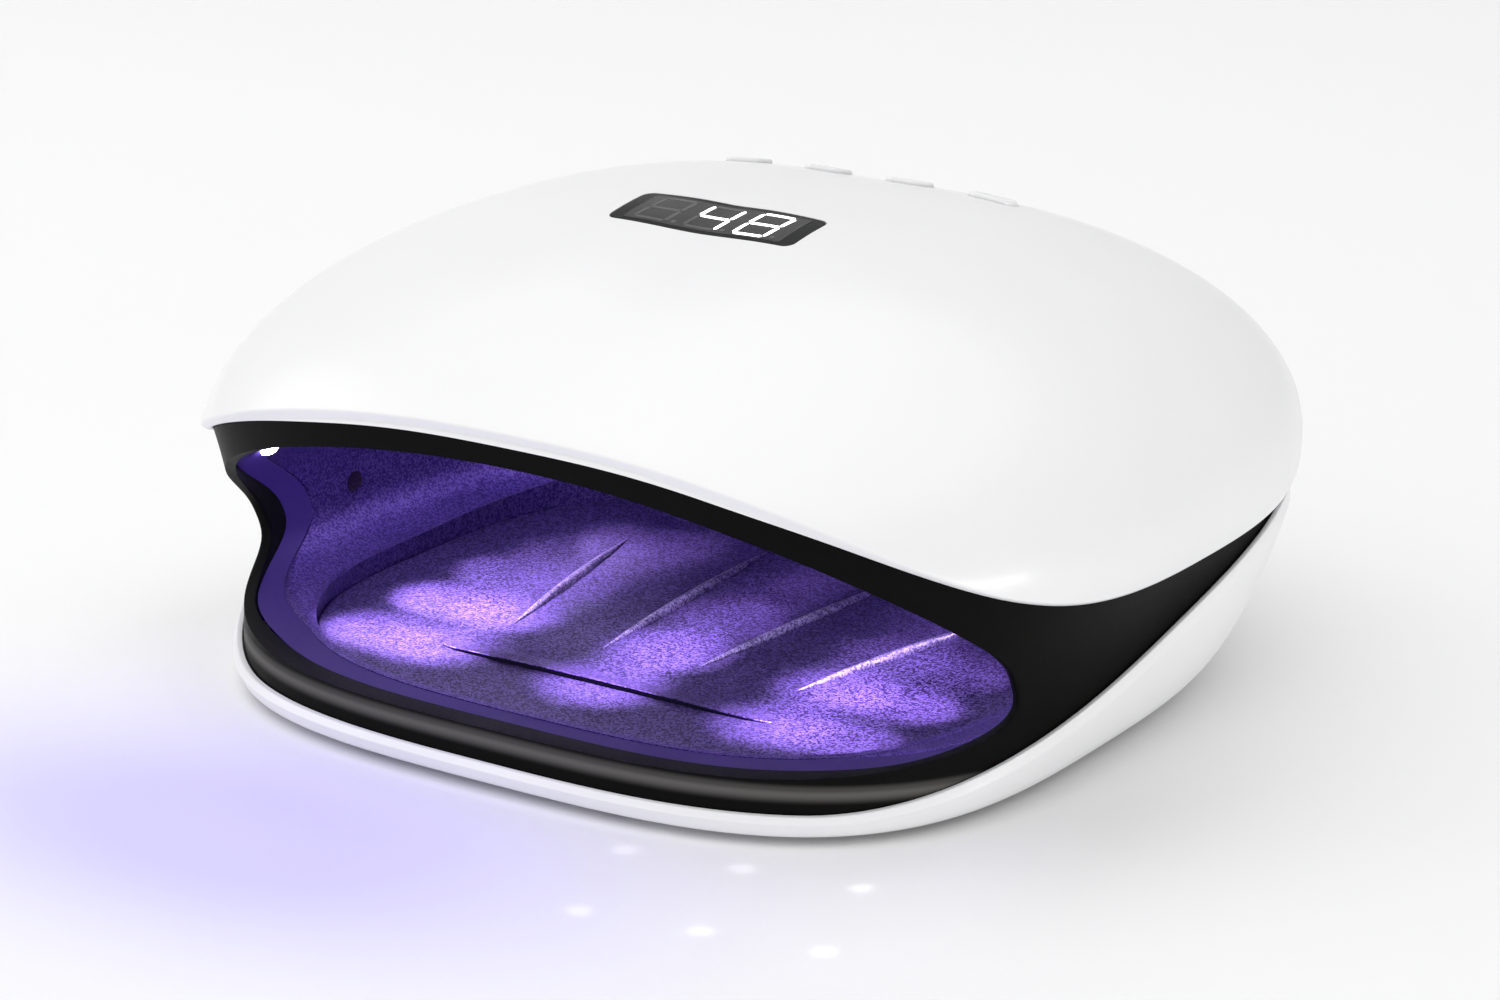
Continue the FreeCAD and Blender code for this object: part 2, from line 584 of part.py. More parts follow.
def tray():
    body = tray_block(BASE_Z, FLANGE_TOP_Z, FLANGE_OUT).fuse(tray_block(BASE_Z, TRAY_TOP_Z, 0.0))
    body = body.cut(tray_block(0, TRAY_TOP_Z - TRAY_SKIN, -2.2))
    for x, y in FEET:
        body = body.fuse(Part.makeCylinder(FOOT_RADIUS + 1, TRAY_TOP_Z - BASE_Z - 1, V(x, y, BASE_Z)))
    for x in STIFFENER_XS:
        body = body.fuse(Part.makeBox(1.4, 110, 3.6, V(x - 0.7, -68, TRAY_TOP_Z - TRAY_SKIN - 3.2)))
    above_skin = Part.makeBox(200, 200, 20, V(-100, -100, TRAY_TOP_Z - 0.5))
    for x0, y0, x1, y1 in FINGER_RIBS:
        for side in (-1, 1):
            body = body.fuse(ridge(side * x0, y0, side * x1, y1).common(above_skin))
    body = body.fuse(finger_rest())
    for x, y, long_x in magnet_places():
        body = body.cut(magnet(x, y, FLANGE_TOP_Z - 1.8, 4, long_x, 0.1))
    return body


def tray_magnets():
    return Part.makeCompound([magnet(x, y, FLANGE_TOP_Z - 1.7, 1.6, lx) for x, y, lx in magnet_places()])


def keeper_magnets():
    return Part.makeCompound([magnet(x, y, LEDGE_LOW_Z + 0.05, 1.5, lx) for x, y, lx in magnet_places()])


def feet():
    pads = []
    for x, y in FEET:
        pad = Part.makeCylinder(FOOT_RADIUS, BASE_Z, V(x, y, 0))
        pads.append(pad.makeChamfer(0.5, [pad.Edges[2]]))
    return Part.makeCompound(pads)


# ---- controls --------------------------------------------------------------------------------------------
def button_seat(x):
    """Lowest height of the shell's inner face over one button's flange."""
    spots = [(x + dx, BUTTON_Y + dy) for dx in (-8, 0, 8) for dy in (-5, 0, 5)]
    return min(crown_height(a, b, SHELL_WALL) for a, b in spots)


def button_cap(x):
    seat = button_seat(x) - RUNNING_GAP
    key = pill(x, BUTTON_Y, seat - 0.5, BUTTON_LONG, BUTTON_SHORT, 20)
    raised = crown_height(x, BUTTON_Y) + KEY_RISE
    slope_x = (crown_height(x + 4, BUTTON_Y) - crown_height(x - 4, BUTTON_Y)) / 8
    slope_y = (crown_height(x, BUTTON_Y + 3) - crown_height(x, BUTTON_Y - 3)) / 6
    trim = Part.makePlane(60, 60, V(-30, -30, 0)).extrude(V(0, 0, 30))
    turn = FreeCAD.Rotation(V(0, 0, 1), V(-slope_x, -slope_y, 1))
    trim.Placement = FreeCAD.Placement(V(x, BUTTON_Y, raised), turn)
    key = key.cut(trim)
    top = max(key.Faces, key=lambda f: f.CenterOfMass.z)
    key = key.makeFillet(0.8, top.Edges)
    flange_z = seat - PRESS_FLANGE
    flange = pill(x, BUTTON_Y, flange_z, BUTTON_LONG + 3.0, BUTTON_SHORT + 2.4, PRESS_FLANGE)
    stem = Part.makeCylinder(STEM_RADIUS, flange_z + 0.6 - PLUNGER_TOP_Z, V(x, BUTTON_Y, PLUNGER_TOP_Z))
    return key.fuse(flange).fuse(stem).removeSplitter()


def switch_plunger(x):
    foot = BOARD_TOP_Z + 2.2
    return Part.makeCylinder(PLUNGER_RADIUS, PLUNGER_TOP_Z - foot, V(x, BUTTON_Y, foot))


def switch_bodies():
    bodies = []
    for x in button_xs():
        body = Part.makeBox(6, 6, 3.6, V(x - 3, BUTTON_Y - 3, BOARD_TOP_Z))
        well = Part.makeCylinder(PLUNGER_RADIUS + 0.35, 4, V(x, BUTTON_Y, BOARD_TOP_Z + 0.8))
        bodies.append(body.cut(well))
    return Part.makeCompound(bodies)


def control_board():
    board = rounded_block(-45, 45, -34, 60, BOARD_Z, BOARD_TOP_Z, 3)
    for x, y in BOARD_POSTS:
        board = board.cut(Part.makeCylinder(1.4, 5, V(x, y, BOARD_Z - 1)))
    return board


def board_parts():
    chips = [
        rounded_block(-6, 6, 8, 20, BOARD_TOP_Z, BOARD_TOP_Z + 1.6, 0.5),
        rounded_block(18, 28, 6, 16, BOARD_TOP_Z, BOARD_TOP_Z + 3.5, 0.5),
        rounded_block(-40, -32, 4, 22, BOARD_TOP_Z, BOARD_TOP_Z + 5.0, 0.5),
        Part.makeCylinder(4.0, 7.5, V(-22, 14, BOARD_TOP_Z)),
        Part.makeCylinder(4.0, 7.5, V(36, 24, BOARD_TOP_Z))]
    return Part.makeCompound(chips)


def screw(x, y, head_z, head_radius, head_height, radius, length):
    head = Part.makeCylinder(head_radius, head_height, V(x, y, head_z))
    head = head.cut(Part.makeBox(head_radius * 1.5, 0.6, 0.6, V(x - head_radius * 0.75, y - 0.3, head_z)))
    head = head.cut(Part.makeBox(0.6, head_radius * 1.5, 0.6, V(x - 0.3, y - head_radius * 0.75, head_z)))
    return head.fuse(Part.makeCylinder(radius, length, V(x, y, head_z + head_height)))


def board_screws():
    return Part.makeCompound([screw(x, y, BOARD_Z - 1.4, 2.3, 1.4, 1.0, 8) for x, y in BOARD_POSTS])


def shell_screws():
    return Part.makeCompound([screw(x, y, 6.3, 3.2, 2.2, 1.6, 28) for x, y in SCREW_POSTS])


def bezel_screws():
    return Part.makeCompound([screw(x, y, BASE_Z + 0.1, 2.3, 1.4, 1.2, 6) for x, y in BEZEL_SCREWS])


def display_window():
    pane = display_tool(0.0, 90, 120)
    low = crown_height(0, DISPLAY_Y + 7) - 2.2
    pane = pane.common(closed_body(loft_faces(crown_sections(0.0)) + [front_skirt()]))
    return pane.cut(Part.makeBox(80, 80, 40, V(-40, -60, low - 40)))


def front_skirt():
    """Cone that closes the domed surface below, for trimming."""
    edge = crown_sections(0.0)[0]
    return Part.makeLoft([edge, Part.Vertex(V(0, 0, 0))], False, True).Faces[0]


def display_digits():
    low = crown_height(0, DISPLAY_Y + 7) - 2.3
    return rounded_block(-21, 21, DISPLAY_Y - 6.6, DISPLAY_Y + 6.6, low - 6.5, low, 0.8)


def display_header():
    low = crown_height(0, DISPLAY_Y + 7) - 8.8
    card = rounded_block(-24, 24, DISPLAY_Y - 8, DISPLAY_Y + 8, low - 1.2, low, 1.0)
    for x in (-21, 21):
        card = card.fuse(Part.makeBox(3, 8, low - 1.2 - BOARD_TOP_Z, V(x - 1.5, DISPLAY_Y - 4, BOARD_TOP_Z)))
    return card


# ---- power inlet -----------------------------------------------------------------------------------------
def dc_jack():
    barrel = Part.makeCylinder(JACK_RADIUS, 9.5, V(0, JACK_FACE_Y - 9.5, JACK_Z), V(0, 1, 0))
    body = Part.makeBox(13, 4.5, 12, V(-6.5, JACK_FACE_Y - 14, JACK_Z - 6)).fuse(barrel)
    body = body.cut(Part.makeCylinder(2.75, 10, V(0, JACK_FACE_Y - 9.5, JACK_Z), V(0, 1, 0)))
    return body.fuse(Part.makeCylinder(1.0, 9.0, V(0, JACK_FACE_Y - 10, JACK_Z), V(0, 1, 0)))


def power_lead():
    """Sleeved pair from the inlet up to the board, bent between straights."""
    start, end = V(0, JACK_FACE_Y - 12, JACK_Z + 6.6), V(8, 54, BOARD_Z - 1.0)
    spots = [start, V(0, 79, 46), V(4, 74, 60), V(8, 60, 70), end]
    pieces = [Part.makeSphere(LEAD_RADIUS, spot) for spot in spots[1:-1]]
    for here, there in zip(spots, spots[1:]):
        pieces.append(Part.makeCylinder(LEAD_RADIUS, here.distanceToPoint(there), here, there - here))
    return pieces[0].fuse(pieces[1:])


# ---- assembly --------------------------------------------------------------------------------------------
def build():
    makers = [
        top_shell, front_bezel, lower_housing, reflector_roof, chamber_liner, led_beads, led_boards, ir_sensors,
        tray, tray_magnets, keeper_magnets, feet, switch_bodies, control_board, board_parts, board_screws,
        shell_screws, bezel_screws, display_window, display_digits, display_header, dc_jack, power_lead]
    made = {}
    for maker in makers:
        made[maker.__name__] = maker()
        print(maker.__name__, flush=True)
    for number, x in enumerate(button_xs(), 1):
        made[f"button_cap_{number}"] = button_cap(x)
        made[f"switch_plunger_{number}"] = switch_plunger(x)
    return made


if __name__ == "__main__":
    for name, shape in build().items():
        shape.exportStep(f"parts/{name}.step")
        box = shape.BoundBox
        print(f"{name:18s} {shape.isValid()} {len(shape.Solids)} {shape.Volume / 1000:8.2f} cm3 "
              f"x {box.XMin:.1f} {box.XMax:.1f} y {box.YMin:.1f} {box.YMax:.1f} z {box.ZMin:.1f} {box.ZMax:.1f}")
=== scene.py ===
"""Desk-top ultraviolet curing lamp: gloss white domed shell, black waisted bezel, lit violet chamber.

Lengths inside this script are millimetres, turned into metres when a mesh is made.  Angles round the lamp are
compass degrees about the widest station: -90 at the mouth, 0 on the right, 90 at the rear.
"""
import math

import bmesh
import bpy
import numpy as np
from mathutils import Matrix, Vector


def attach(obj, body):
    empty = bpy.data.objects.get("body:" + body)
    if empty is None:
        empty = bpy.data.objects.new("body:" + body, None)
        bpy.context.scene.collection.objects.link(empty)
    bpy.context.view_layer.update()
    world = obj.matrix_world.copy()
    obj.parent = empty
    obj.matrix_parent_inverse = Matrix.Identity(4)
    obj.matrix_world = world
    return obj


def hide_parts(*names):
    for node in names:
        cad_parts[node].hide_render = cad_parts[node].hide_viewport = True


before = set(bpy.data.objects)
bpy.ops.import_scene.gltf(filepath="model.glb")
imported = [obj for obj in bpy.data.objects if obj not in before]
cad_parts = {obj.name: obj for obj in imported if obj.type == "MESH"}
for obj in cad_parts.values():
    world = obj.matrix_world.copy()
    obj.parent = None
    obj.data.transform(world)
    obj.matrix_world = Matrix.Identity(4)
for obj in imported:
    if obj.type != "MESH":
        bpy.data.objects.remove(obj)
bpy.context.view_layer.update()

MM = 0.001
# domed shell
WIDEST_Y = -5.75
DOME_HALF_WIDTH, DOME_FRONT, DOME_REAR, DOME_EXPONENT = 115.0, 102.0, 108.05, 2.6
DOME_TOP, EQUATOR_Z, UNDERCUT_RADIUS = 104.0, 51.5, 40.0
CROWN_FRONT, CROWN_SIDE, CROWN_REAR, CROWN_LEAN = 1.65, 2.13, 1.83, 0.16
SHELL_WALL, LIP_INSET, LIP_TALL, LIP_SHORT = 2.5, 1.2, 2.8, 0.8
LIP_FROM, LIP_TO = 28, 62
EDGE_SIDE_Z, EDGE_ARCH_Z, EDGE_ARCH_EXPONENT = 44.4, 72.6, 3.1
EDGE_ARCH_START_Y, EDGE_ARCH_FULL_Y = 7.6, -96.6
# lower housing
BASE_Z, BASE_HALF_WIDTH, RIM_HALF_WIDTH = 1.6, 92.0, 114.5
BASE_FRONT_Y, RIM_FRONT_Y, BASE_REAR_Y, RIM_REAR_Y = -100.2, -106.8, 71.5, 101.0
BASE_WIDEST_Y, BASE_EXPONENT = -24.0, 3.2
BOWL_SPREAD, BOWL_SPREAD_FRONT = 0.5, 0.3
RIM_FRONT_Z, RIM_REAR_Z, RIM_RISE_FROM, RIM_RISE_TO = 6.2, 43.3, -46.0, 33.0
BEVEL_INSET, BEVEL_DROP, BEVEL_DROP_FRONT, BEVEL_FROM, BEVEL_TO = 1.3, 3.4, 1.3, -45, -5
HOUSING_WALL, RUNNING_GAP = 2.4, 0.3
VENTS_A_SIDE, VENT_FIRST_X, VENT_PITCH, VENT_WIDTH = 7, 26, 4.5, 2.0
VENT_LOW_Z, VENT_HIGH_Z, VENT_FROM_Y, VENT_TO_Y = 17, 32, 82, 115
JACK_Z, JACK_FACE_Y, JACK_BORE, JACK_SINK = 24.0, 90.6, 5.2, 7.5
JACK_SINK_LONG, JACK_BORE_Y, JACK_BORE_LONG = 20, 70, 30
BOSS_RADIUS, BOSS_BACK_Y = 8.4, 84.0
SCREW_POSTS, SCREW_SINK, SCREW_SINK_TOP = [(-75.0, 59.0), (75.0, 59.0)], 3.8, 8.5
BEZEL_SCREWS, BEZEL_SINK, BEZEL_SINK_TOP = [(-30.0, -95.6), (30.0, -95.6)], 2.6, 3.1
# mouth, bezel, chamber
MOUTH_HALF_WIDTH, MOUTH_WAIST_Z, MOUTH_ABOVE, MOUTH_BELOW = 98.0, 30.0, 35.6, 17.6
MOUTH_UPPER_EXPONENT, MOUTH_LOWER_EXPONENT = 2.2, 4.5
BEZEL_WALL, BEZEL_WAIST, BEZEL_TUCK, WAIST_FULL_RISE, ROLL_RADIUS = 2.4, 2.0, 3.0, 30.0, 3.2
BEZEL_LIP, BEZEL_LIP_FROM, BEZEL_LIP_TO, BEZEL_LIP_FADE_Z, BEZEL_LIP_TOP_Z = 3.2, 25, 45, 12, 16
CHAMBER_GROW, CHAMBER_TURN_Y, CHAMBER_REAR_Y, CHAMBER_END_Y = 0.4, -28.0, 74.0, 70.0
CHAMBER_EXPONENT, LINER_WALL, LEDGE_BAND, CREASE_DEPTH = 2.5, 1.5, 9.0, 0.35
FRAME_GAP, FRAME_TOP_Z, TRAY_CUT_TOP_Z = 0.3, 10.9, 24
LED_ROWS, LED_ANGLES, LED_STAND_IN = (-60.0, -36.0, -12.0, 12.0, 36.0), (26.0, 57.0, 90.0, 123.0, 154.0), 1.6
# tray
TRAY_HALF_WIDTH, TRAY_FRONT, TRAY_REAR, TRAY_WIDEST_Y, TRAY_EXPONENT = 84.0, 70.2, 77.5, -15.75, 3.0
TRAY_TOP_Z, FLANGE_OUT, FLANGE_TOP_Z = 10.6, 4.5, 4.0
LEDGE_LOW_Z, LEDGE_TOP_Z, TRAY_GAP, LEDGE_WIDTH = 4.3, 6.3, 0.6, 3.0
TRAY_PLATE, TRAY_WALL = 2.0, 2.2
RIBS = ((12.0, -43.0, 18.0, 31.0), (37.0, -42.0, 50.0, 20.0))
RIB_HALF_WIDTH, RIB_RISE, RIB_SUNK, RIB_SWELL = 1.3, 1.4, 0.6, 0.75
REST_Y, REST_LENGTH, REST_WIDTH, REST_RISE, REST_HOOK, REST_SUNK = -58.5, 86.0, 7.0, 1.15, 2.2, 0.3
# controls
DISPLAY_Y, DISPLAY_WIDTH, DISPLAY_DEPTH, DISPLAY_CORNER = -16.4, 46.8, 15.6, 2.2
WINDOW_GAP, WINDOW_SINK, WINDOW_THICK, WINDOW_CUT_Z = 0.2, 0.05, 2.0, 85
FACE_WIDTH, FACE_DEPTH, FACE_CORNER, FACE_THICK = 40.0, 13.0, 0.5, 0.3
FIGURE_PITCH, FIGURE_SHIFT, FIGURE_WIDE, FIGURE_HIGH = 12.6, 0.6, 7.8, 10.8
FIGURE_BAR, FIGURE_SLANT, FIGURE_GAP, FIGURE_LIFT, FIGURE_THICK = 0.95, 0.12, 0.18, 0.04, 0.1
POINT_X, POINT_Y, POINT_RADIUS = 5.3, -5.0, 0.6
BUTTON_Y, BUTTON_PITCH, BUTTON_LONG, BUTTON_SHORT = 44.0, 21.5, 11.6, 6.4
BUTTON_XS = [(i - 1.5) * BUTTON_PITCH for i in range(4)]
KEY_GAP, KEY_SEAT_DROP, KEY_CUT_Z, CUT_TOP_Z = 0.3, 1.5, 80, 120
KEY_EDGE = ((1, 0.35), (0.985, 0.72), (0.955, 0.93), (0.91, 1.0), (0.85, 0.98))
KEY_DISH = ((0.7, 0.86), (0.5, 0.78), (0.25, 0.74), (0.0, 0.73))
STEM_RADIUS, STEM_TOP, STEM_FOOT_Z = 2.0, 0.2, 82.6
# light and view: metres, watts, degrees, and the floor's turn in radians
LAMP_CONE, LAMP_WATTS, LAMP_VIOLET = 38.0, (1.5, 1.6, 0.5, 0.12, 0.08), (0.74, 0.57, 1.0)
# Centre and size of the painted violet glow on the floor, in metres.
GLOW_X, GLOW_Y, GLOW_LONG, GLOW_DEEP = -0.03, -0.148, 0.2, 0.11
DOT_CONE, DOT_WATTS, DOT_HEIGHT = 1.3, 0.7, 0.3
DOT_START, DOT_COLUMN, DOT_ROW = (0.042, -0.111), (0.0245, 0.005), (0.010, -0.029)
FLOOR_HALF_WIDTH, FLOOR_NEAR, FLOOR_FAR, FLOOR_BEND, FLOOR_HIGH, FLOOR_TURN = 3.4, -2.2, 1.6, 0.8, 2.6, 0.58
ROOM_LIGHT, ROOM_LIGHT_RIGHT = 0.9, 0.42
CAMERA_AROUND, CAMERA_UP, CAMERA_REACH, CAMERA_TARGET = 33.8, 18.1, 0.925, (0.0013, -0.0058, 0.0365)
CAMERA_LENS, CAMERA_SENSOR, CAMERA_NEAR = 101.4, 36.0, 0.05


# ---- the lamp's curves, all on whole arrays --------------------------------------------------------------
def smooth(low, high, value):
    """0 below low, 1 above high, three times the square less twice the cube between."""
    share = np.clip((value - low) / (high - low), 0, 1)
    return share * share * (3 - 2 * share)


def facing(angle):
    """The angle folded to -90 at the front and +90 at the rear, alike on both sides."""
    return np.degrees(np.arcsin(np.clip(np.sin(np.radians(angle)), -1, 1)))


def rounded_reach(angle, half_width, front, rear, exponent):
    """Squared-off ellipse: the radius is the sum of both direction shares to the exponent, rooted back."""
    cosine, sine = np.cos(np.radians(angle)), np.sin(np.radians(angle))
    reach_y = np.where(sine > 0, rear, front)
    size = np.abs(cosine / half_width) ** exponent + np.abs(sine / reach_y) ** exponent
    radius = size ** (-1 / exponent)
    return radius * cosine, radius * sine


def dome_point(angle, z, inset=0.0):
    """The dome: an outline scaled by a quarter curve above the equator and by an arc below it."""
    sine = np.sin(np.radians(angle))
    other = np.where(sine < 0, CROWN_FRONT, CROWN_REAR)
    exponent = CROWN_SIDE + (other - CROWN_SIDE) * sine ** 2
    up = np.clip((z - EQUATOR_Z) / (DOME_TOP - inset - EQUATOR_Z), 0, 1)
    down = np.clip((EQUATOR_Z - z) / UNDERCUT_RADIUS, 0, 1)
    scale = np.where(z >= EQUATOR_Z, (1 - up ** exponent) ** (1 / exponent), np.sqrt(1 - down ** 2))
    x, y = rounded_reach(angle, DOME_HALF_WIDTH - inset, DOME_FRONT - inset, DOME_REAR - inset, DOME_EXPONENT)
    lean = CROWN_LEAN * np.maximum(z - EQUATOR_Z, 0)
    return np.stack([x * scale, WIDEST_Y + y * scale + lean, z + 0 * x], -1)


def crown_height(x, y, inset=0.0):
    """Height of the dome over points of the plan, by halving the interval."""
    x, y = np.broadcast_arrays(np.asarray(x, float), np.asarray(y, float))
    low = np.full(x.shape, EQUATOR_Z)
    high = np.full(x.shape, DOME_TOP - inset)
    for _ in range(34):
        middle = (low + high) / 2
        lean = WIDEST_Y + CROWN_LEAN * (middle - EQUATOR_Z)
        edge = dome_point(np.degrees(np.arctan2(y - lean, x)), middle, inset)
        inside = np.hypot(x, y - lean) < np.hypot(edge[..., 0], edge[..., 1] - lean)
        low, high = np.where(inside, middle, low), np.where(inside, high, middle)
    return low


def edge_height(angle):
    """The shell's crease: level along the sides, arched over the mouth."""
    x, y = rounded_reach(angle, DOME_HALF_WIDTH, DOME_FRONT, DOME_REAR, DOME_EXPONENT)
    forward = smooth(-EDGE_ARCH_START_Y, -EDGE_ARCH_FULL_Y, -(WIDEST_Y + y))
    arch = 1 - np.abs(x / DOME_HALF_WIDTH) ** EDGE_ARCH_EXPONENT
    return EDGE_SIDE_Z + (EDGE_ARCH_Z - EDGE_SIDE_Z) * arch * forward


def lip_height(angle):
    """Height of the shell's lip under its crease: tall at the front, short along the sides."""
    return LIP_SHORT + (LIP_TALL - LIP_SHORT) * smooth(LIP_FROM, LIP_TO, -facing(angle))


def rim_height(angle):
    """Height of the housing's rim: low at the front, climbing to the rear."""
    return RIM_FRONT_Z + (RIM_REAR_Z - RIM_FRONT_Z) * smooth(RIM_RISE_FROM, RIM_RISE_TO, facing(angle))


def bevel_drop(angle):
    """Drop of the rim's bevel: small at the front, full from the sides back."""
    return BEVEL_DROP_FRONT + (BEVEL_DROP - BEVEL_DROP_FRONT) * smooth(BEVEL_FROM, BEVEL_TO, facing(angle))


def pan_point(angle, z, inset=0.0):
    """The dished housing: outlines that spread from the foot to the rim as a root of the height."""
    rise = np.clip((z - BASE_Z) / (EDGE_SIDE_Z - BASE_Z), 0, None)
    side, front = rise ** BOWL_SPREAD, rise ** BOWL_SPREAD_FRONT
    half_width = BASE_HALF_WIDTH + (RIM_HALF_WIDTH - BASE_HALF_WIDTH) * side - inset
    widest_y = BASE_WIDEST_Y + (WIDEST_Y - BASE_WIDEST_Y) * side
    front_y = BASE_FRONT_Y + (RIM_FRONT_Y - BASE_FRONT_Y) * front + inset
    rear_y = BASE_REAR_Y + (RIM_REAR_Y - BASE_REAR_Y) * side - inset
    exponent = BASE_EXPONENT + (DOME_EXPONENT - BASE_EXPONENT) * side
    x, y = rounded_reach(angle, half_width, widest_y - front_y, rear_y - widest_y, exponent)
    return np.stack([x, widest_y + y, z + 0 * x], -1)


def pull_in(points, inset):
    """Moves points level towards the widest station by the inset."""
    x, y = points[..., 0], points[..., 1] - WIDEST_Y
    keep = 1 - inset / np.hypot(x, y)
    return np.stack([x * keep, WIDEST_Y + y * keep, points[..., 2]], -1)


def tray_point(angle, z, grow):
    """Outline of the removable tray, grown outwards."""
    x, y = rounded_reach(
        angle, TRAY_HALF_WIDTH + grow, TRAY_FRONT + grow, TRAY_REAR + grow, TRAY_EXPONENT)
    return np.stack([x, TRAY_WIDEST_Y + y, z + 0 * x], -1)


def bezel_point(angle, z, wall=0.0):
    """The bezel: tucked inside both shells, and waisted by a parabola between them."""
    low, high = rim_height(angle), edge_height(angle) - lip_height(angle)
    share = np.clip((z - low) / (high - low), 0, 1)[..., None]
    foot = pan_point(angle, np.minimum(z, low), HOUSING_WALL + RUNNING_GAP)
    head = dome_point(angle, np.maximum(z, high), SHELL_WALL + RUNNING_GAP)
    between = foot + (head - foot) * share
    between[..., 2] = z
    waist = BEZEL_WAIST * 4 * share[..., 0] * (1 - share[..., 0])
    waist = waist * np.minimum(1, (high - low) / WAIST_FULL_RISE)
    lip = BEZEL_LIP * smooth(BEZEL_LIP_FROM, BEZEL_LIP_TO, -facing(angle))
    lip = lip * (1 - smooth(BEZEL_LIP_FADE_Z, BEZEL_LIP_TOP_Z, z)) * (wall > 0)
    return pull_in(between, waist + wall + lip)


def mouth_edge(turn, grow=0.0):
    """The mouth's outline: two half super-ellipses that meet at its widest height."""
    cosine, sine = np.cos(np.radians(turn)), np.sin(np.radians(turn))
    exponent = np.where(sine > 0, MOUTH_UPPER_EXPONENT, MOUTH_LOWER_EXPONENT)
    reach = np.where(sine > 0, MOUTH_ABOVE, MOUTH_BELOW) + grow
    x = (MOUTH_HALF_WIDTH + grow) * np.sign(cosine) * np.abs(cosine) ** (2 / exponent)
    return x, MOUTH_WAIST_Z + reach * np.sign(sine) * np.abs(sine) ** (2 / exponent)


# ---- mesh helpers ----------------------------------------------------------------------------------------
def new_mesh(name, points, faces, body, nodes, material, shade_angle=40):
    """An object whose vertices are the points, in metres, with its frame declarations."""
    data = bpy.data.meshes.new(name)
    data.from_pydata((np.asarray(points) * MM).tolist(), [], faces)
    piece = bpy.data.objects.new(name, data)
    bpy.context.collection.objects.link(piece)
    data.materials.append(material)
    declare(piece, body, nodes)
    weld(piece)
    shade(piece, shade_angle)
    return piece


def declare(piece, body, nodes):
    """The body that carries the piece and the CAD nodes it stands for."""
    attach(piece, body)
    for node in nodes:
        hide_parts(node)


def weld(piece, distance=2e-6):
    """Merges doubles and turns all faces outwards."""
    work = bmesh.new()
    work.from_mesh(piece.data)
    bmesh.ops.remove_doubles(work, verts=work.verts, dist=distance)
    bmesh.ops.dissolve_degenerate(work, edges=work.edges, dist=1e-7)
    bmesh.ops.recalc_face_normals(work, faces=work.faces)
    work.to_mesh(piece.data)
    work.free()


def shade(piece, angle):
    """Smooth shading, with edges sharper than the angle kept crisp."""
    data = piece.data
    data.polygons.foreach_set("use_smooth", np.ones(len(data.polygons), bool))
    data.set_sharp_from_angle(angle=math.radians(angle))


def ring_faces(rows, columns, closed_rows=False):
    """Quads of a grid whose columns wrap round; rows wrap too when closed_rows."""
    last = rows if closed_rows else rows - 1
    r, c = np.meshgrid(np.arange(last), np.arange(columns), indexing="ij")
    r2, c2 = (r + 1) % rows, (c + 1) % columns
    corners = [r * columns + c, r * columns + c2, r2 * columns + c2, r2 * columns + c]
    return np.stack(corners, -1).reshape(-1, 4)


def ring_piece(name, rows, body, nodes, material, closed_rows=False, shade_angle=40):
    """Piece from a list of outlines, each an array of points round the form."""
    stack = np.stack(rows)
    faces = ring_faces(len(rows), stack.shape[1], closed_rows)
    return new_mesh(name, stack.reshape(-1, 3), faces.tolist(), body, nodes, material, shade_angle)


def rounded(corners, radii, steps=5):
    """Rows through corner outlines, each inner corner replaced by a parabola cut back by its radius."""
    rows = [corners[0]]
    for before, here, after, radius in zip(corners, corners[1:], corners[2:], radii):
        back, on = before - here, after - here
        len_back = np.linalg.norm(back, axis=-1, keepdims=True)
        len_on = np.linalg.norm(on, axis=-1, keepdims=True)
        cut = np.minimum(radius, 0.45 * np.minimum(len_back, len_on))
        start, end = here + back / len_back * cut, here + on / len_on * cut
        for share in np.linspace(0, 1, steps):
            rows.append(start * (1 - share) ** 2 + here * 2 * share * (1 - share) + end * share ** 2)
    return rows + [corners[-1]]


def carve(piece, cutters):
    """Cuts closed shapes out of a piece and applies the cut."""
    for cutter in cutters:
        change = piece.modifiers.new("cut", "BOOLEAN")
        change.operation = "DIFFERENCE"
        change.solver = "EXACT"
        change.object = cutter
        finished = bpy.data.meshes.new_from_object(piece.evaluated_get(bpy.context.evaluated_depsgraph_get()))
        piece.modifiers.clear()
        old = piece.data
        piece.data = finished
        finished.name = piece.name
        bpy.data.meshes.remove(old)
        bpy.data.objects.remove(cutter)


def cutter(points, faces):
    """Bare closed shape for carving."""
    data = bpy.data.meshes.new("cutter")
    data.from_pydata((np.asarray(points) * MM).tolist(), [], faces)
    shape = bpy.data.objects.new("cutter", data)
    bpy.context.collection.objects.link(shape)
    weld(shape)
    return shape


def prism_cutter(outline, low, high):
    """Upright block on a closed outline of x, y points."""
    count = len(outline)
    points = np.concatenate([
        np.column_stack([outline, np.full(count, low)]), np.column_stack([outline, np.full(count, high)])])
    faces = ring_faces(2, count).tolist()
    faces += [list(range(count))[::-1], list(range(count, 2 * count))]
    return cutter(points, faces)


def tube_cutter(centre, axis, radius, length, sides=48):
    """Round bar from a centre along +Y or +Z."""
    turn = np.linspace(0, 2 * np.pi, sides, endpoint=False)
    circle = np.stack([np.cos(turn), np.sin(turn)], -1) * radius
    across = (0, 2) if axis == 1 else (0, 1)
    points = np.zeros((2, sides, 3))
    points[..., across[0]] = circle[:, 0]
    points[..., across[1]] = circle[:, 1]
    points[1, :, axis] = length
    points = points.reshape(-1, 3) + np.asarray(centre)
    faces = ring_faces(2, sides).tolist() + [list(range(sides)), list(range(sides, 2 * sides))]
    return cutter(points, faces)


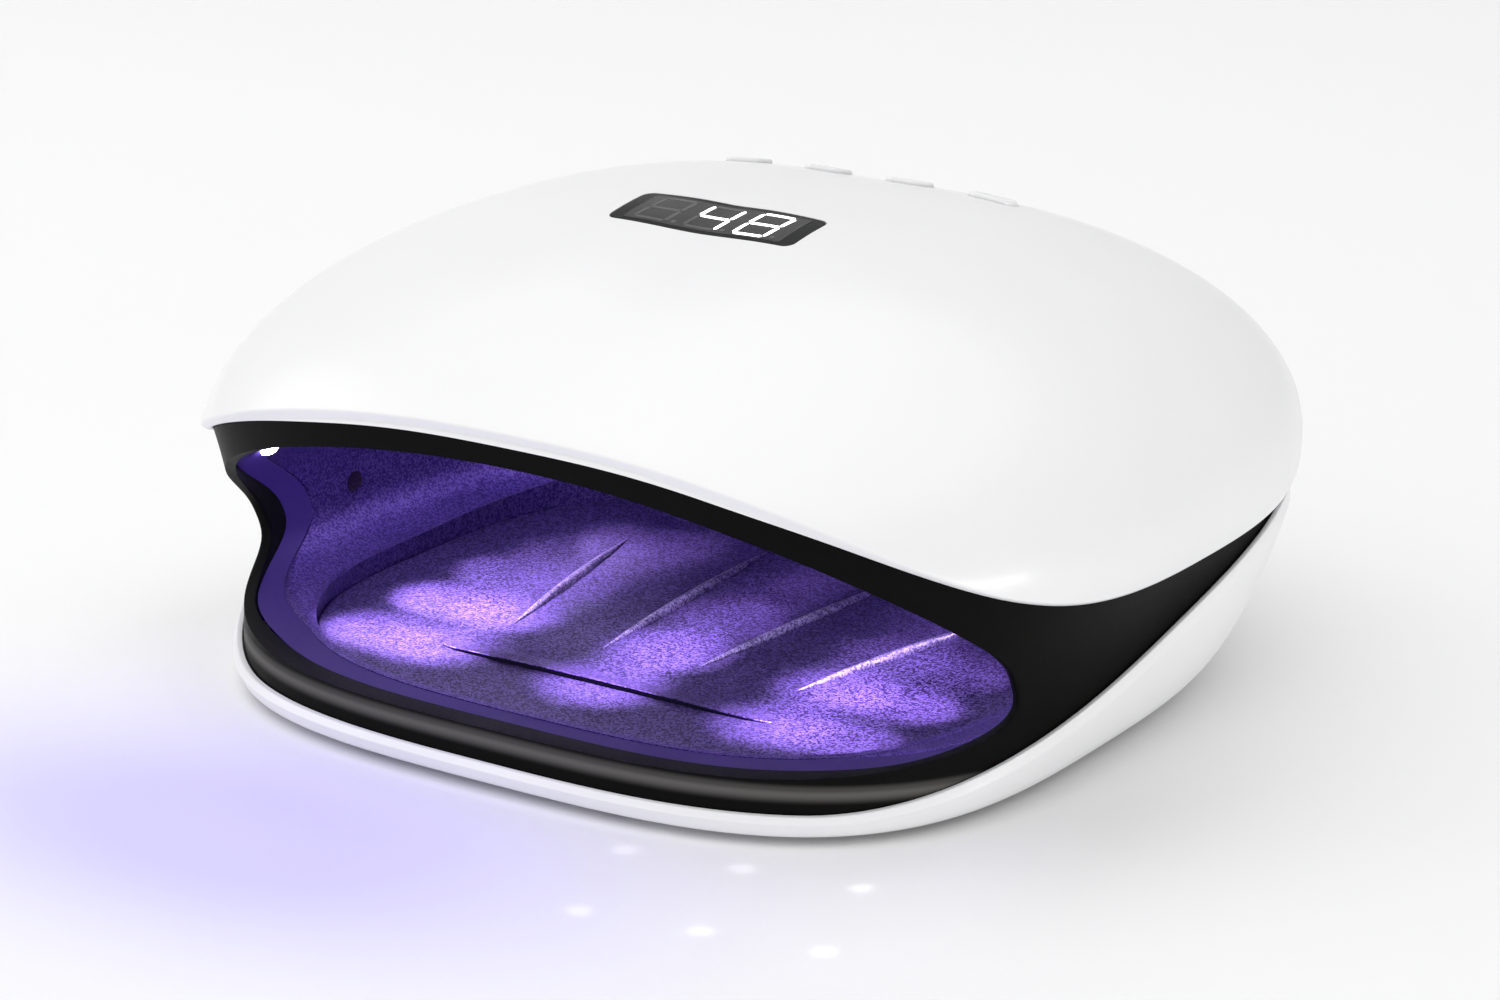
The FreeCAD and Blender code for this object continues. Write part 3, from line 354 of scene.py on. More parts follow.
def pill_outline(x, y, long, short, sides=64):
    """Race-track outline: two half circles joined by straights."""
    turn = np.linspace(-np.pi / 2, np.pi / 2, sides // 2)
    radius, half = short / 2, (long - short) / 2
    right = np.stack([half + radius * np.cos(turn), radius * np.sin(turn)], -1)
    return np.concatenate([right, -right]) + (x, y)


def box_outline(x, y, width, depth, corner, steps=10):
    """Rectangle with quarter-circle corners."""
    turn = np.radians(np.linspace(0, 90, steps))
    arc = np.stack([np.cos(turn), np.sin(turn)], -1) * corner
    parts = []
    for quarter in range(4):
        cosine, sine = round(math.cos(quarter * math.pi / 2)), round(math.sin(quarter * math.pi / 2))
        spin = np.array([[cosine, -sine], [sine, cosine]])
        sign = spin @ np.array([1.0, 1.0])
        centre = sign * (width / 2 - corner, depth / 2 - corner)
        parts.append(arc @ spin.T + centre)
    return np.concatenate(parts) + (x, y)


def dense(outline, spacing):
    """The same closed outline with points added along its sides at about even spacing."""
    closed = np.vstack([outline, outline[:1]])
    length = np.concatenate([[0], np.cumsum(np.hypot(*np.diff(closed, axis=0).T))])
    extra = np.linspace(0, length[-1], max(8, round(length[-1] / spacing)), endpoint=False)
    stops = np.union1d(length[:-1].round(4), extra.round(4))
    return np.stack([np.interp(stops, length, closed[:, axis]) for axis in (0, 1)], -1)


# ---- finishes --------------------------------------------------------------------------------------------
def finish_of(name, colour, rough, metal=0.0, coat=0.0, coat_rough=0.05, specular=0.5):
    """A plain surface with its even values set on the shader's own sockets."""
    material = bpy.data.materials.new(name)
    material.use_nodes = True
    shader = material.node_tree.nodes["Principled BSDF"]
    shader.inputs["Base Color"].default_value = (*colour, 1)
    shader.inputs["Roughness"].default_value = rough
    shader.inputs["Metallic"].default_value = metal
    shader.inputs["Coat Weight"].default_value = coat
    shader.inputs["Coat Roughness"].default_value = coat_rough
    shader.inputs["Specular IOR Level"].default_value = specular
    return material


def add(material, kind, **values):
    """New node with its inputs set by name."""
    node = material.node_tree.nodes.new(kind)
    for key, value in values.items():
        socket = key.replace("_", " ")
        if socket in node.inputs:
            node.inputs[socket].default_value = value
        else:
            setattr(node, key, value)
    return node


def join(material, source, output, target, socket):
    """Link from one node's output to another node's input."""
    material.node_tree.links.new(source.outputs[output], target.inputs[socket])


def grained(material, scale, depth, rough_low, rough_high, detail=3.0):
    """Fine noise that varies the gloss a little and raises a faint grain."""
    shader = material.node_tree.nodes["Principled BSDF"]
    place = add(material, "ShaderNodeTexCoord")
    noise = add(material, "ShaderNodeTexNoise", Scale=scale, Detail=detail)
    join(material, place, "Object", noise, "Vector")
    spread = add(material, "ShaderNodeMapRange")
    spread.inputs["To Min"].default_value = rough_low
    spread.inputs["To Max"].default_value = rough_high
    join(material, noise, "Fac", spread, "Value")
    join(material, spread, "Result", shader, "Roughness")
    bump = add(material, "ShaderNodeBump", Strength=0.6, Distance=depth)
    join(material, noise, "Fac", bump, "Height")
    join(material, bump, "Normal", shader, "Normal")
    return material


def tinted(material, colours, scale, low=0.3, high=0.7, detail=2.0):
    """Slow noise that drifts the colour between two near shades."""
    shader = material.node_tree.nodes["Principled BSDF"]
    place = add(material, "ShaderNodeTexCoord")
    noise = add(material, "ShaderNodeTexNoise", Scale=scale, Detail=detail)
    ramp = add(material, "ShaderNodeValToRGB")
    ramp.color_ramp.elements[0].position, ramp.color_ramp.elements[1].position = low, high
    ramp.color_ramp.elements[0].color = (*colours[0], 1)
    ramp.color_ramp.elements[1].color = (*colours[1], 1)
    join(material, place, "Object", noise, "Vector")
    join(material, noise, "Fac", ramp, "Fac")
    join(material, ramp, "Color", shader, "Base Color")
    return material


def sparkling(name, dark, light, metal, rough):
    """Metallised coating full of tiny bright flecks: cells of two sizes set colour and tilt the surface."""
    material = finish_of(name, dark, rough, metal)
    shader = material.node_tree.nodes["Principled BSDF"]
    place = add(material, "ShaderNodeTexCoord")
    flecks = add(material, "ShaderNodeTexVoronoi", Scale=2500.0)
    grain = add(material, "ShaderNodeTexNoise", Scale=3000.0, Detail=2.0)
    ramp = add(material, "ShaderNodeValToRGB")
    ramp.color_ramp.elements[0].position, ramp.color_ramp.elements[1].position = 0.25, 0.8
    ramp.color_ramp.elements[0].color = (*dark, 1)
    ramp.color_ramp.elements[1].color = (*light, 1)
    split = add(material, "ShaderNodeSeparateColor")
    bump = add(material, "ShaderNodeBump", Strength=0.4, Distance=0.0001)
    join(material, place, "Object", flecks, "Vector")
    join(material, place, "Object", grain, "Vector")
    join(material, flecks, "Color", split, "Color")
    join(material, split, "Red", ramp, "Fac")
    join(material, ramp, "Color", shader, "Base Color")
    join(material, grain, "Fac", bump, "Height")
    join(material, bump, "Normal", shader, "Normal")
    return material


def glowing(name, colour, strength, body_colour=(0.9, 0.9, 0.95)):
    """Lit surface whose strength drifts a little from spot to spot."""
    material = finish_of(name, body_colour, 0.2)
    shader = material.node_tree.nodes["Principled BSDF"]
    shader.inputs["Emission Color"].default_value = (*colour, 1)
    place = add(material, "ShaderNodeTexCoord")
    noise = add(material, "ShaderNodeTexNoise", Scale=400.0, Detail=2.0)
    spread = add(material, "ShaderNodeMapRange")
    spread.inputs["To Min"].default_value = strength * 0.85
    spread.inputs["To Max"].default_value = strength * 1.15
    join(material, place, "Object", noise, "Vector")
    join(material, noise, "Fac", spread, "Value")
    join(material, spread, "Result", shader, "Emission Strength")
    return material


SHELL_WHITE = tinted(finish_of("gloss_white_shell", (0.87, 0.87, 0.88), 0.3, coat=0.3, coat_rough=0.16),
                     ((0.845, 0.845, 0.855), (0.87, 0.87, 0.875)), 14.0)
HOUSING_WHITE = tinted(finish_of("satin_white_housing", (0.86, 0.86, 0.87), 0.3),
                       ((0.845, 0.845, 0.86), (0.88, 0.88, 0.885)), 16.0)
KEY_WHITE = tinted(finish_of("gloss_white_keys", (0.88, 0.88, 0.89), 0.2, coat=0.5),
                   ((0.87, 0.87, 0.88), (0.895, 0.895, 0.9)), 40.0)
BEZEL_BLACK = grained(finish_of("satin_black_grain", (0.007, 0.007, 0.0075), 0.4, specular=0.04),
                      1500.0, 0.00004, 0.36, 0.5)
# Painted highlight on the bezel's lower bead: heights in metres and the grey painted at each, over the span.
PAINTED_HIGHLIGHT_BANDS, PAINTED_HIGHLIGHT_SPAN = ((0.0080, 0.004), (0.0102, 0.11), (0.0112, 0.06), (0.0124, 0.004)), 0.02


def add_painted_bead_highlight(material):
    """The lower lip's bead gets a painted highlight: a soft grey band along its crown, by height, standing in
    for the light it reflects.
    """
    shader = material.node_tree.nodes["Principled BSDF"]
    place = add(material, "ShaderNodeTexCoord")
    split = add(material, "ShaderNodeSeparateXYZ")
    height = add(material, "ShaderNodeMapRange")
    height.inputs["From Max"].default_value = PAINTED_HIGHLIGHT_SPAN
    ramp = add(material, "ShaderNodeValToRGB")
    ramp.color_ramp.interpolation = "EASE"
    for _ in PAINTED_HIGHLIGHT_BANDS[2:]:
        ramp.color_ramp.elements.new(0.5)
    for stop, (level, grey) in zip(ramp.color_ramp.elements, PAINTED_HIGHLIGHT_BANDS):
        stop.position, stop.color = level / PAINTED_HIGHLIGHT_SPAN, (grey, grey * 0.96, grey * 0.92, 1)
    join(material, place, "Object", split, "Vector")
    join(material, split, "Z", height, "Value")
    join(material, height, "Result", ramp, "Fac")
    join(material, ramp, "Color", shader, "Base Color")


# The black bezel takes the painted highlight along its lower bead.
add_painted_bead_highlight(BEZEL_BLACK)
# The chamber lining's violet colours are partly painted light: its metallised coating is pale, and the violet
# tint stands in for the diodes' light, on top of the real violet lights.
LINER_SMOOTH = grained(finish_of("ledge_painted_violet", (0.046, 0.024, 0.16), 0.55, metal=0.2, specular=0.2),
                       1200.0, 0.00003, 0.5, 0.6)
LINER_SPARKLE = sparkling("metallised_chamber_painted_violet", (0.045, 0.02, 0.15), (0.13, 0.08, 0.33), 0.7, 0.46)
TRAY_SPARKLE = sparkling("sparkling_tray", (0.016, 0.007, 0.055), (0.15, 0.105, 0.31), 0.75, 0.46)
# The ribs' colour, lighter than the tray's own coating, is painted highlight.
RIB_PAINTED_HIGHLIGHT = sparkling("painted_highlight_rib", (0.16, 0.12, 0.26), (0.5, 0.44, 0.7), 0.8, 0.34)
# Painted shade: a dark colour standing in for the shadow on the finger rest's front step and the ribs' sides.
PAINTED_SHADE_STEP = grained(finish_of("painted_shade_step_edge", (0.006, 0.004, 0.02), 0.6, specular=0.1),
                    1200.0, 0.00003, 0.52, 0.7)
WINDOW_BLACK = grained(finish_of("window_border_black", (0.004, 0.004, 0.005), 0.3, specular=0.1),
                       900.0, 0.00001, 0.26, 0.36)
WINDOW_SMOKE = tinted(finish_of("smoked_window_face", (0.04, 0.04, 0.042), 0.25, specular=0.15),
                      ((0.036, 0.036, 0.038), (0.05, 0.05, 0.052)), 90.0)
DIGIT_LIT = glowing("lit_digit", (1.0, 1.0, 1.0), 3.2)
DIGIT_DARK = tinted(finish_of("unlit_digit", (0.1, 0.1, 0.102), 0.35, specular=0.15),
                    ((0.09, 0.09, 0.092), (0.12, 0.12, 0.122)), 90.0)
LAMP_LIT = glowing("lit_diode", (0.78, 0.72, 1.0), 40.0)
BOARD_WHITE = grained(finish_of("white_light_board", (0.72, 0.73, 0.7), 0.4), 700.0, 0.00002, 0.35, 0.5)
BOARD_GREEN = tinted(finish_of("green_board", (0.03, 0.2, 0.08), 0.35),
                     ((0.025, 0.17, 0.07), (0.04, 0.23, 0.1)), 60.0)
CHIP_BLACK = grained(finish_of("moulded_black", (0.02, 0.02, 0.021), 0.5), 900.0, 0.00003, 0.42, 0.6)
STEEL = grained(finish_of("zinc_plated_steel", (0.6, 0.6, 0.61), 0.3, metal=1.0), 1400.0, 0.00001, 0.25, 0.4)
NICKEL = grained(finish_of("nickel_magnet", (0.68, 0.67, 0.65), 0.2, metal=1.0), 1000.0, 0.00001, 0.16, 0.28)
FOOT_RUBBER = grained(finish_of("foot_rubber", (0.03, 0.03, 0.031), 0.75), 1100.0, 0.00005, 0.68, 0.85)
SENSOR_DARK = tinted(finish_of("sensor_lens", (0.02, 0.01, 0.03), 0.15, coat=0.8),
                     ((0.015, 0.007, 0.024), (0.028, 0.014, 0.04)), 300.0)
LEAD_SLEEVE = grained(finish_of("lead_sleeve", (0.45, 0.03, 0.03), 0.45), 600.0, 0.00002, 0.4, 0.55)


# ---- top shell -------------------------------------------------------------------------------------------
ROUND = np.linspace(90, 450, 360, endpoint=False)


def dome_rows(inset, start, climbs):
    """Outlines of the dome from a start height up towards the top, spaced by the sine of the climb."""
    top = DOME_TOP - inset
    return [dome_point(ROUND, start + (top - start) * math.sin(math.radians(c)), inset) for c in climbs]


def make_top_shell():
    """Outer dome down to the crease, round it and the lip, then the inner dome back up to its own top."""
    crease = edge_height(ROUND)
    foot = crease - lip_height(ROUND)
    outer = dome_rows(0.0, crease, np.linspace(89.9, 2.0, 76))
    inner = dome_rows(SHELL_WALL, foot, np.linspace(3.0, 89.9, 26))
    edge = dome_point(ROUND, crease)
    lip = pull_in(edge, LIP_INSET)
    lip[:, 2] = foot
    inside = dome_point(ROUND, foot, SHELL_WALL)
    turned = rounded([outer[-1], edge, lip, inside, inner[0]], [0.55, 0.5, 0.5, 0.2])
    rows = outer[:-1] + turned + inner[1:]
    for row, inset in ((rows[0], 0.0), (rows[-1], SHELL_WALL)):
        top = DOME_TOP - inset
        row[:] = (0, WIDEST_Y + CROWN_LEAN * (top - EQUATOR_Z), top)
    shell = ring_piece(
        "top_shell_skin", rows, "housing", ["top_shell"], SHELL_WHITE, shade_angle=50)
    width, depth = DISPLAY_WIDTH + 2 * WINDOW_GAP, DISPLAY_DEPTH + 2 * WINDOW_GAP
    window = box_outline(0, DISPLAY_Y, width, depth, DISPLAY_CORNER + WINDOW_GAP)
    cuts = [prism_cutter(window, WINDOW_CUT_Z, CUT_TOP_Z)]
    for x in BUTTON_XS:
        key = pill_outline(x, BUTTON_Y, BUTTON_LONG + 2 * KEY_GAP, BUTTON_SHORT + 2 * KEY_GAP)
        cuts.append(prism_cutter(key, KEY_CUT_Z, CUT_TOP_Z))
    carve(shell, cuts)
    shade(shell, 50)


# ---- lower housing ---------------------------------------------------------------------------------------
def make_lower_housing():
    """A closed loop carried round: tray opening, foot, flared wall, bevelled rim, inner wall, tray ledge."""
    rim, drop = rim_height(ROUND), bevel_drop(ROUND)
    foot_inner = tray_point(ROUND, BASE_Z, FLANGE_OUT + TRAY_GAP)
    foot = pan_point(ROUND, np.full(ROUND.shape, BASE_Z))
    wall = [pan_point(ROUND, BASE_Z + (rim - drop - BASE_Z) * s) for s in np.linspace(0, 1, 30)[1:] ** 1.6]
    crest = pan_point(ROUND, rim, BEVEL_INSET)
    floor_z = BASE_Z + HOUSING_WALL
    inner = [pan_point(ROUND, rim + (floor_z - rim) * s, HOUSING_WALL) for s in np.linspace(0, 1, 12)]
    steps = ((floor_z, FLANGE_OUT + LEDGE_WIDTH), (LEDGE_TOP_Z, FLANGE_OUT + LEDGE_WIDTH),
             (LEDGE_TOP_Z, TRAY_GAP), (LEDGE_LOW_Z, TRAY_GAP), (LEDGE_LOW_Z, FLANGE_OUT + TRAY_GAP))
    ledge = [tray_point(ROUND, z, grow) for z, grow in steps]
    rows = rounded([foot_inner, foot, wall[0]], [1.2]) + wall[1:-1]
    rows += rounded([wall[-2], wall[-1], crest, inner[0], inner[1]], [0.5, 0.35, 0.3])[1:-1]
    rows += inner[1:] + ledge
    pan = ring_piece("lower_housing_skin", rows, "housing", ["lower_housing"], HOUSING_WHITE,
                     closed_rows=True, shade_angle=38)
    cuts = [tube_cutter((0, JACK_FACE_Y, JACK_Z), 1, JACK_SINK, JACK_SINK_LONG),
            tube_cutter((0, JACK_BORE_Y, JACK_Z), 1, JACK_BORE, JACK_BORE_LONG)]
    for side in (-1, 1):
        for number in range(VENTS_A_SIDE):
            cuts.append(vent_cutter(side * (VENT_FIRST_X + VENT_PITCH * number)))
    for x, y in SCREW_POSTS:
        cuts.append(tube_cutter((x, y, 0), 2, SCREW_SINK, SCREW_SINK_TOP))
    for x, y in BEZEL_SCREWS:
        cuts.append(tube_cutter((x, y, 0), 2, BEZEL_SINK, BEZEL_SINK_TOP))
    carve(pan, cuts)
    shade(pan, 38)


def vent_cutter(x):
    """Round-ended upright slot through the rear wall."""
    outline = pill_outline((VENT_LOW_Z + VENT_HIGH_Z) / 2, 0, VENT_HIGH_Z - VENT_LOW_Z, VENT_WIDTH, 24)
    count = len(outline)
    points = np.zeros((2, count, 3))
    points[..., 0] = x + outline[:, 1]
    points[..., 2] = outline[:, 0]
    points[0, :, 1], points[1, :, 1] = VENT_FROM_Y, VENT_TO_Y
    faces = ring_faces(2, count).tolist() + [list(range(count)), list(range(count, 2 * count))]
    return cutter(points.reshape(-1, 3), faces)


def make_rear_boss():
    """Flat-faced round boss behind the rear wall that the inlet sits in."""
    turn = np.linspace(0, 2 * np.pi, 64, endpoint=False)
    rows = []
    for radius, y in ((JACK_BORE, BOSS_BACK_Y), (BOSS_RADIUS, BOSS_BACK_Y),
                      (BOSS_RADIUS, JACK_FACE_Y), (JACK_BORE, JACK_FACE_Y)):
        rows.append(np.stack([radius * np.cos(turn), y + 0 * turn, JACK_Z + radius * np.sin(turn)], -1))
    ring_piece("inlet_boss", rows, "housing", [], HOUSING_WHITE, closed_rows=True)


# ---- bezel -----------------------------------------------------------------------------------------------
def bezel_at(around, share, wall=0.0):
    """Bezel point from a compass angle and a share of the height between its two hidden edges."""
    low = np.maximum(BASE_Z + HOUSING_WALL + 0.5, rim_height(around) - BEZEL_TUCK)
    high = edge_height(around) - lip_height(around) + BEZEL_TUCK
    return bezel_point(around, low + (high - low) * share, wall)


def make_bezel():
    """Rays run from the mouth's middle to the bezel's border in the plane of angle and height share.
    Each starts where it leaves the mouth's outline, found by halving.  The outer face, the rolled edge of the
    mouth and the inner face are one profile carried round these rays."""
    count, side_count = 420, 46
    upper = np.linspace(-270, 90, count, endpoint=False)
    side = np.linspace(0, 1, side_count, endpoint=False)
    border = np.concatenate([
        np.column_stack([upper, np.ones(count)]),
        np.column_stack([np.full(side_count, 90.0), 1 - side]),
        np.column_stack([upper[::-1] + 360 / count, np.zeros(count)]),
        np.column_stack([np.full(side_count, -270.0), side])])
    middle = np.array([-90.0, 0.4])
    low, high = np.zeros(len(border)), np.ones(len(border))
    for _ in range(36):
        step = (low + high) / 2
        spot = middle + (border - middle) * step[:, None]
        here = bezel_at(spot[:, 0], spot[:, 1])
        upward = here[:, 2] > MOUTH_WAIST_Z
        exponent = np.where(upward, MOUTH_UPPER_EXPONENT, MOUTH_LOWER_EXPONENT)
        reach = np.where(upward, MOUTH_ABOVE, MOUTH_BELOW)
        size = np.abs(here[:, 0] / MOUTH_HALF_WIDTH) ** exponent
        size = size + np.abs((here[:, 2] - MOUTH_WAIST_Z) / reach) ** exponent
        inside = (size < 1) & (np.abs(spot[:, 0] + 90) < 88)
        low, high = np.where(inside, step, low), np.where(inside, high, step)
    start = middle + (border - middle) * low[:, None]
    shares = np.concatenate([[0], np.linspace(0.02, 1, 44) ** 1.5])
    track = [start + (border - start) * s for s in shares]
    outer = [bezel_at(t[:, 0], t[:, 1]) for t in track]
    inner = [bezel_at(t[:, 0], t[:, 1], BEZEL_WALL) for t in track]
    rolled = rounded([outer[2], outer[0], inner[0], inner[2]], [ROLL_RADIUS, 0.7], steps=7)
    rows = outer[::-1][:-2] + rolled[1:-1] + inner[2:]
    ring_piece("bezel_skin", rows, "housing", ["front_bezel"], BEZEL_BLACK,
               closed_rows=True, shade_angle=55)


# ---- curing chamber --------------------------------------------------------------------------------------
def behind_bezel(x, z):
    """Y of the bezel's inner face at points of x and z, by halving the compass angle."""
    low, high = np.full(x.shape, -90.0), np.full(x.shape, 0.0)
    for _ in range(36):
        step = (low + high) / 2
        short = bezel_point(step, z, BEZEL_WALL)[:, 0] < np.abs(x)
        low, high = np.where(short, step, low), np.where(short, high, step)
    return bezel_point(low, z, BEZEL_WALL)[:, 1]


def chamber_ring(turn, y, grow):
    """Chamber section at a station: the mouth's outline shrunk by a super-ellipse towards the rear."""
    share = max(0.0, (y - CHAMBER_TURN_Y) / (CHAMBER_REAR_Y + grow - CHAMBER_TURN_Y))
    scale = (1 - share ** CHAMBER_EXPONENT) ** (1 / CHAMBER_EXPONENT)
    x, z = mouth_edge(turn, CHAMBER_GROW + grow)
    return np.stack([x * scale, np.full(turn.shape, y), MOUTH_WAIST_Z + (z - MOUTH_WAIST_Z) * scale], -1)


def even_turns(count):
    """Angles round the mouth that give evenly spaced points, by walking the outline's length."""
    fine = np.linspace(0, 360, 8001)
    x, z = mouth_edge(fine)
    length = np.concatenate([[0], np.cumsum(np.hypot(np.diff(x), np.diff(z)))])
    return np.interp(np.linspace(0, length[-1], count, endpoint=False), length, fine)


def chamber_rows(grow, stations):
    """Rows from the mouth backwards: a smooth ledge, a fine crease, a straight stretch, the rounded rear."""
    turn = even_turns(300)
    x, z = mouth_edge(turn, CHAMBER_GROW + grow)
    front = np.stack([x, behind_bezel(x, z) + 0.5, z], -1)
    turn_ring = chamber_ring(turn, CHAMBER_TURN_Y, grow)
    reach = turn_ring[:, 1:2] - front[:, 1:2]
    sunk = chamber_ring(turn, CHAMBER_TURN_Y, grow + CREASE_DEPTH)
    rows = [front, front + (turn_ring - front) * np.minimum(LEDGE_BAND / reach, 1)]
    for further, ring in ((0.22, sunk), (0.45, sunk), (0.7, turn_ring)):
        share = np.minimum((LEDGE_BAND + further) / reach, 1)
        rows.append(front + (ring - front) * share)
        rows[-1][:, [0, 2]] = ring[:, [0, 2]]
    start = rows[-1]
    rows += [start + (turn_ring - start) * s for s in np.linspace(0, 1, 12, endpoint=False)[1:]]
    rows += [chamber_ring(turn, y, grow) for y in stations]
    rows.append(np.broadcast_to([0, stations[-1], MOUTH_WAIST_Z], rows[-1].shape).copy())
    return rows


def wall_under(x, y):
    """Height of the chamber's lower wall over a point of the plan: the mouth's lower curve, scaled."""
    share = np.clip((y - CHAMBER_TURN_Y) / (CHAMBER_REAR_Y - CHAMBER_TURN_Y), 0, 0.999)
    scale = (1 - share ** CHAMBER_EXPONENT) ** (1 / CHAMBER_EXPONENT)
    across = np.clip(np.abs(x) / ((MOUTH_HALF_WIDTH + CHAMBER_GROW) * scale), 0, 1)
    drop = (1 - across ** MOUTH_LOWER_EXPONENT) ** (1 / MOUTH_LOWER_EXPONENT)
    return MOUTH_WAIST_Z - (MOUTH_BELOW + CHAMBER_GROW) * scale * drop


def make_chamber():
    """Thin lined tunnel: inner face from the mouth to the flat rear, and the outer face back again."""
    bend = np.radians(np.linspace(0, 90, 24))
    stations = CHAMBER_TURN_Y + (CHAMBER_END_Y - CHAMBER_TURN_Y) * np.sin(bend) ** 1.1
    inner = chamber_rows(0.0, stations)
    outer = chamber_rows(LINER_WALL, stations + LINER_WALL * np.linspace(0, 1, 24))
    lining = ring_piece("chamber_lining", inner[::-1] + outer, "housing",
                        ["reflector_roof", "chamber_liner"], LINER_SPARKLE, shade_angle=50)
    lining.data.materials.append(LINER_SMOOTH)
    centres = np.empty(len(lining.data.polygons) * 3)
    lining.data.polygons.foreach_get("center", centres)
    centres = centres.reshape(-1, 3) / MM
    ledge = centres[:, 1] < behind_bezel(centres[:, 0], centres[:, 2]) + LEDGE_BAND * 0.6
    lining.data.polygons.foreach_set("material_index", ledge.astype(np.int32))
    carve(lining, [prism_cutter(tray_point(ROUND, 0.0, TRAY_GAP)[:, :2], 0, TRAY_CUT_TOP_Z)])
    shade(lining, 50)


def make_tray_frame():
    """Upright wall round the tray's opening, from under the flange up to the chamber's own wall."""
    inside, outside = tray_point(ROUND, 0.0, FRAME_GAP), tray_point(ROUND, 0.0, TRAY_GAP + LINER_WALL)
    top = np.maximum(wall_under(inside[:, 0], inside[:, 1]) + 0.2, FRAME_TOP_Z)
    top = np.minimum(top, MOUTH_WAIST_Z)
    rows = []
    for outline, height in ((inside, LEDGE_TOP_Z), (outside, LEDGE_TOP_Z), (outside, None), (inside, None)):
        row = outline.copy()
        row[:, 2] = top if height is None else height
        rows.append(row)
    ring_piece("tray_frame", rows, "housing", [], LINER_SPARKLE, closed_rows=True)


# ---- tray ------------------------------------------------------------------------------------------------
def make_tray():
    """Plate with a rounded border and a lower flange, its underside hollowed to a shell."""
    outline = [(FLANGE_OUT, BASE_Z), (FLANGE_OUT, FLANGE_TOP_Z), (0.0, FLANGE_TOP_Z), (0.0, TRAY_TOP_Z)]
    rows = [tray_point(ROUND, z, grow) for grow, z in outline]
    centre = np.array([0, TRAY_WIDEST_Y, TRAY_TOP_Z])
    top = [centre + (rows[-1] - centre) * s for s in np.linspace(0.985, 0.02, 40)]
    under_z = TRAY_TOP_Z - TRAY_PLATE
    foot = tray_point(ROUND, BASE_Z, -TRAY_WALL)
    wall_top = tray_point(ROUND, under_z, -TRAY_WALL)
    low_centre = np.array([0, TRAY_WIDEST_Y, under_z])
    pole_low = np.broadcast_to(low_centre, foot.shape).copy()
    body = rounded([*rows, top[0]], [0.4, 0.3, 0.5])
    under = [low_centre + (wall_top - low_centre) * s for s in np.linspace(0.05, 1, 12)]
    pole_top = np.broadcast_to(centre, foot.shape).copy()
    stack = [pole_low] + under + [foot] + body + top[1:] + [pole_top]
    ring_piece("tray_plate", stack, "tray", ["tray"], TRAY_SPARKLE, shade_angle=35)


def make_finger_rest():
    """Low wedge across the tray: a step in front, sloping back to nothing, its ends hooked and faded out."""
    along = np.linspace(-1, 1, 121)
    swell = np.clip(1 - np.abs(along) ** 14, 0, 1) ** 0.5
    height = REST_RISE * (0.45 + 0.55 * (1 - along ** 2)) * swell
    x = along * REST_LENGTH / 2
    front = REST_Y - REST_WIDTH / 2 + REST_HOOK * np.abs(along) ** 16
    back = np.maximum(REST_Y + REST_WIDTH / 2 * swell, front + 0.01)
    base = np.full(x.shape, TRAY_TOP_Z - REST_SUNK)
    top = TRAY_TOP_Z + height
    loop = [(front, base), (front, top - 0.12), (front + 0.15, top),
            (front + 0.35 * (back - front), TRAY_TOP_Z + 0.72 * height),
            (front + 0.7 * (back - front), TRAY_TOP_Z + 0.3 * height),
            (back, TRAY_TOP_Z - 0.02 + 0 * x), (back, base)]
    sections = np.stack([np.stack([x, y, z], -1) for y, z in loop], 1)
    caps = [np.broadcast_to(section.mean(0), section.shape).copy() for section in sections[[0, -1]]]
    rows = [caps[0], *sections, caps[1]]
    rest = ring_piece("finger_rest", rows, "tray", [], TRAY_SPARKLE, shade_angle=30)
    # Its front step face gets painted shade.
    paint_shade_on_side(rest, 1, -0.75)


def paint_shade_on_side(piece, axis, limit):
    """Paints shade: gives the dark painted-shade colour to the faces whose normal points further down the
    axis than the limit.
    """
    piece.data.materials.append(PAINTED_SHADE_STEP)
    normals = np.empty(len(piece.data.polygons) * 3)
    piece.data.polygons.foreach_get("normal", normals)
    turned = normals.reshape(-1, 3)[:, axis] < limit
    piece.data.polygons.foreach_set("material_index", turned.astype(np.int32))


def make_ribs():
    """Finger ribs: lens-shaped in plan and in height, sunk a little into the plate; their lighter colour is
    painted highlight and their faces turned to -X get painted shade.
    """
    across = np.radians(np.linspace(0, 180, 17))
    for number, (x0, y0, x1, y1) in enumerate(RIBS):
        for side in (-1, 1):
            start, end = np.array([side * x0, y0, TRAY_TOP_Z]), np.array([side * x1, y1, TRAY_TOP_Z])
            along = (end - start) / np.linalg.norm(end - start)
            sideways = np.array([along[1], -along[0], 0])
            rows = []
            for share in np.linspace(0, 1, 60):
                swell = math.sin(math.pi * share) ** RIB_SWELL
                level = np.cos(across)[:, None] * sideways * RIB_HALF_WIDTH
                bow = (level + np.sin(across)[:, None] * (0, 0, RIB_RISE)) * swell
                base = start + (end - start) * share
                under = base - (0, 0, RIB_SUNK * swell + 0.01)
                rows.append(np.concatenate([base + bow, [under]]))
            name = f"finger_rib_{number}_{'l' if side < 0 else 'r'}"
            rib = ring_piece(name, rows, "tray", [], RIB_PAINTED_HIGHLIGHT, shade_angle=70)
            # Faces turned to -X get painted shade.
            paint_shade_on_side(rib, 0, -0.86)


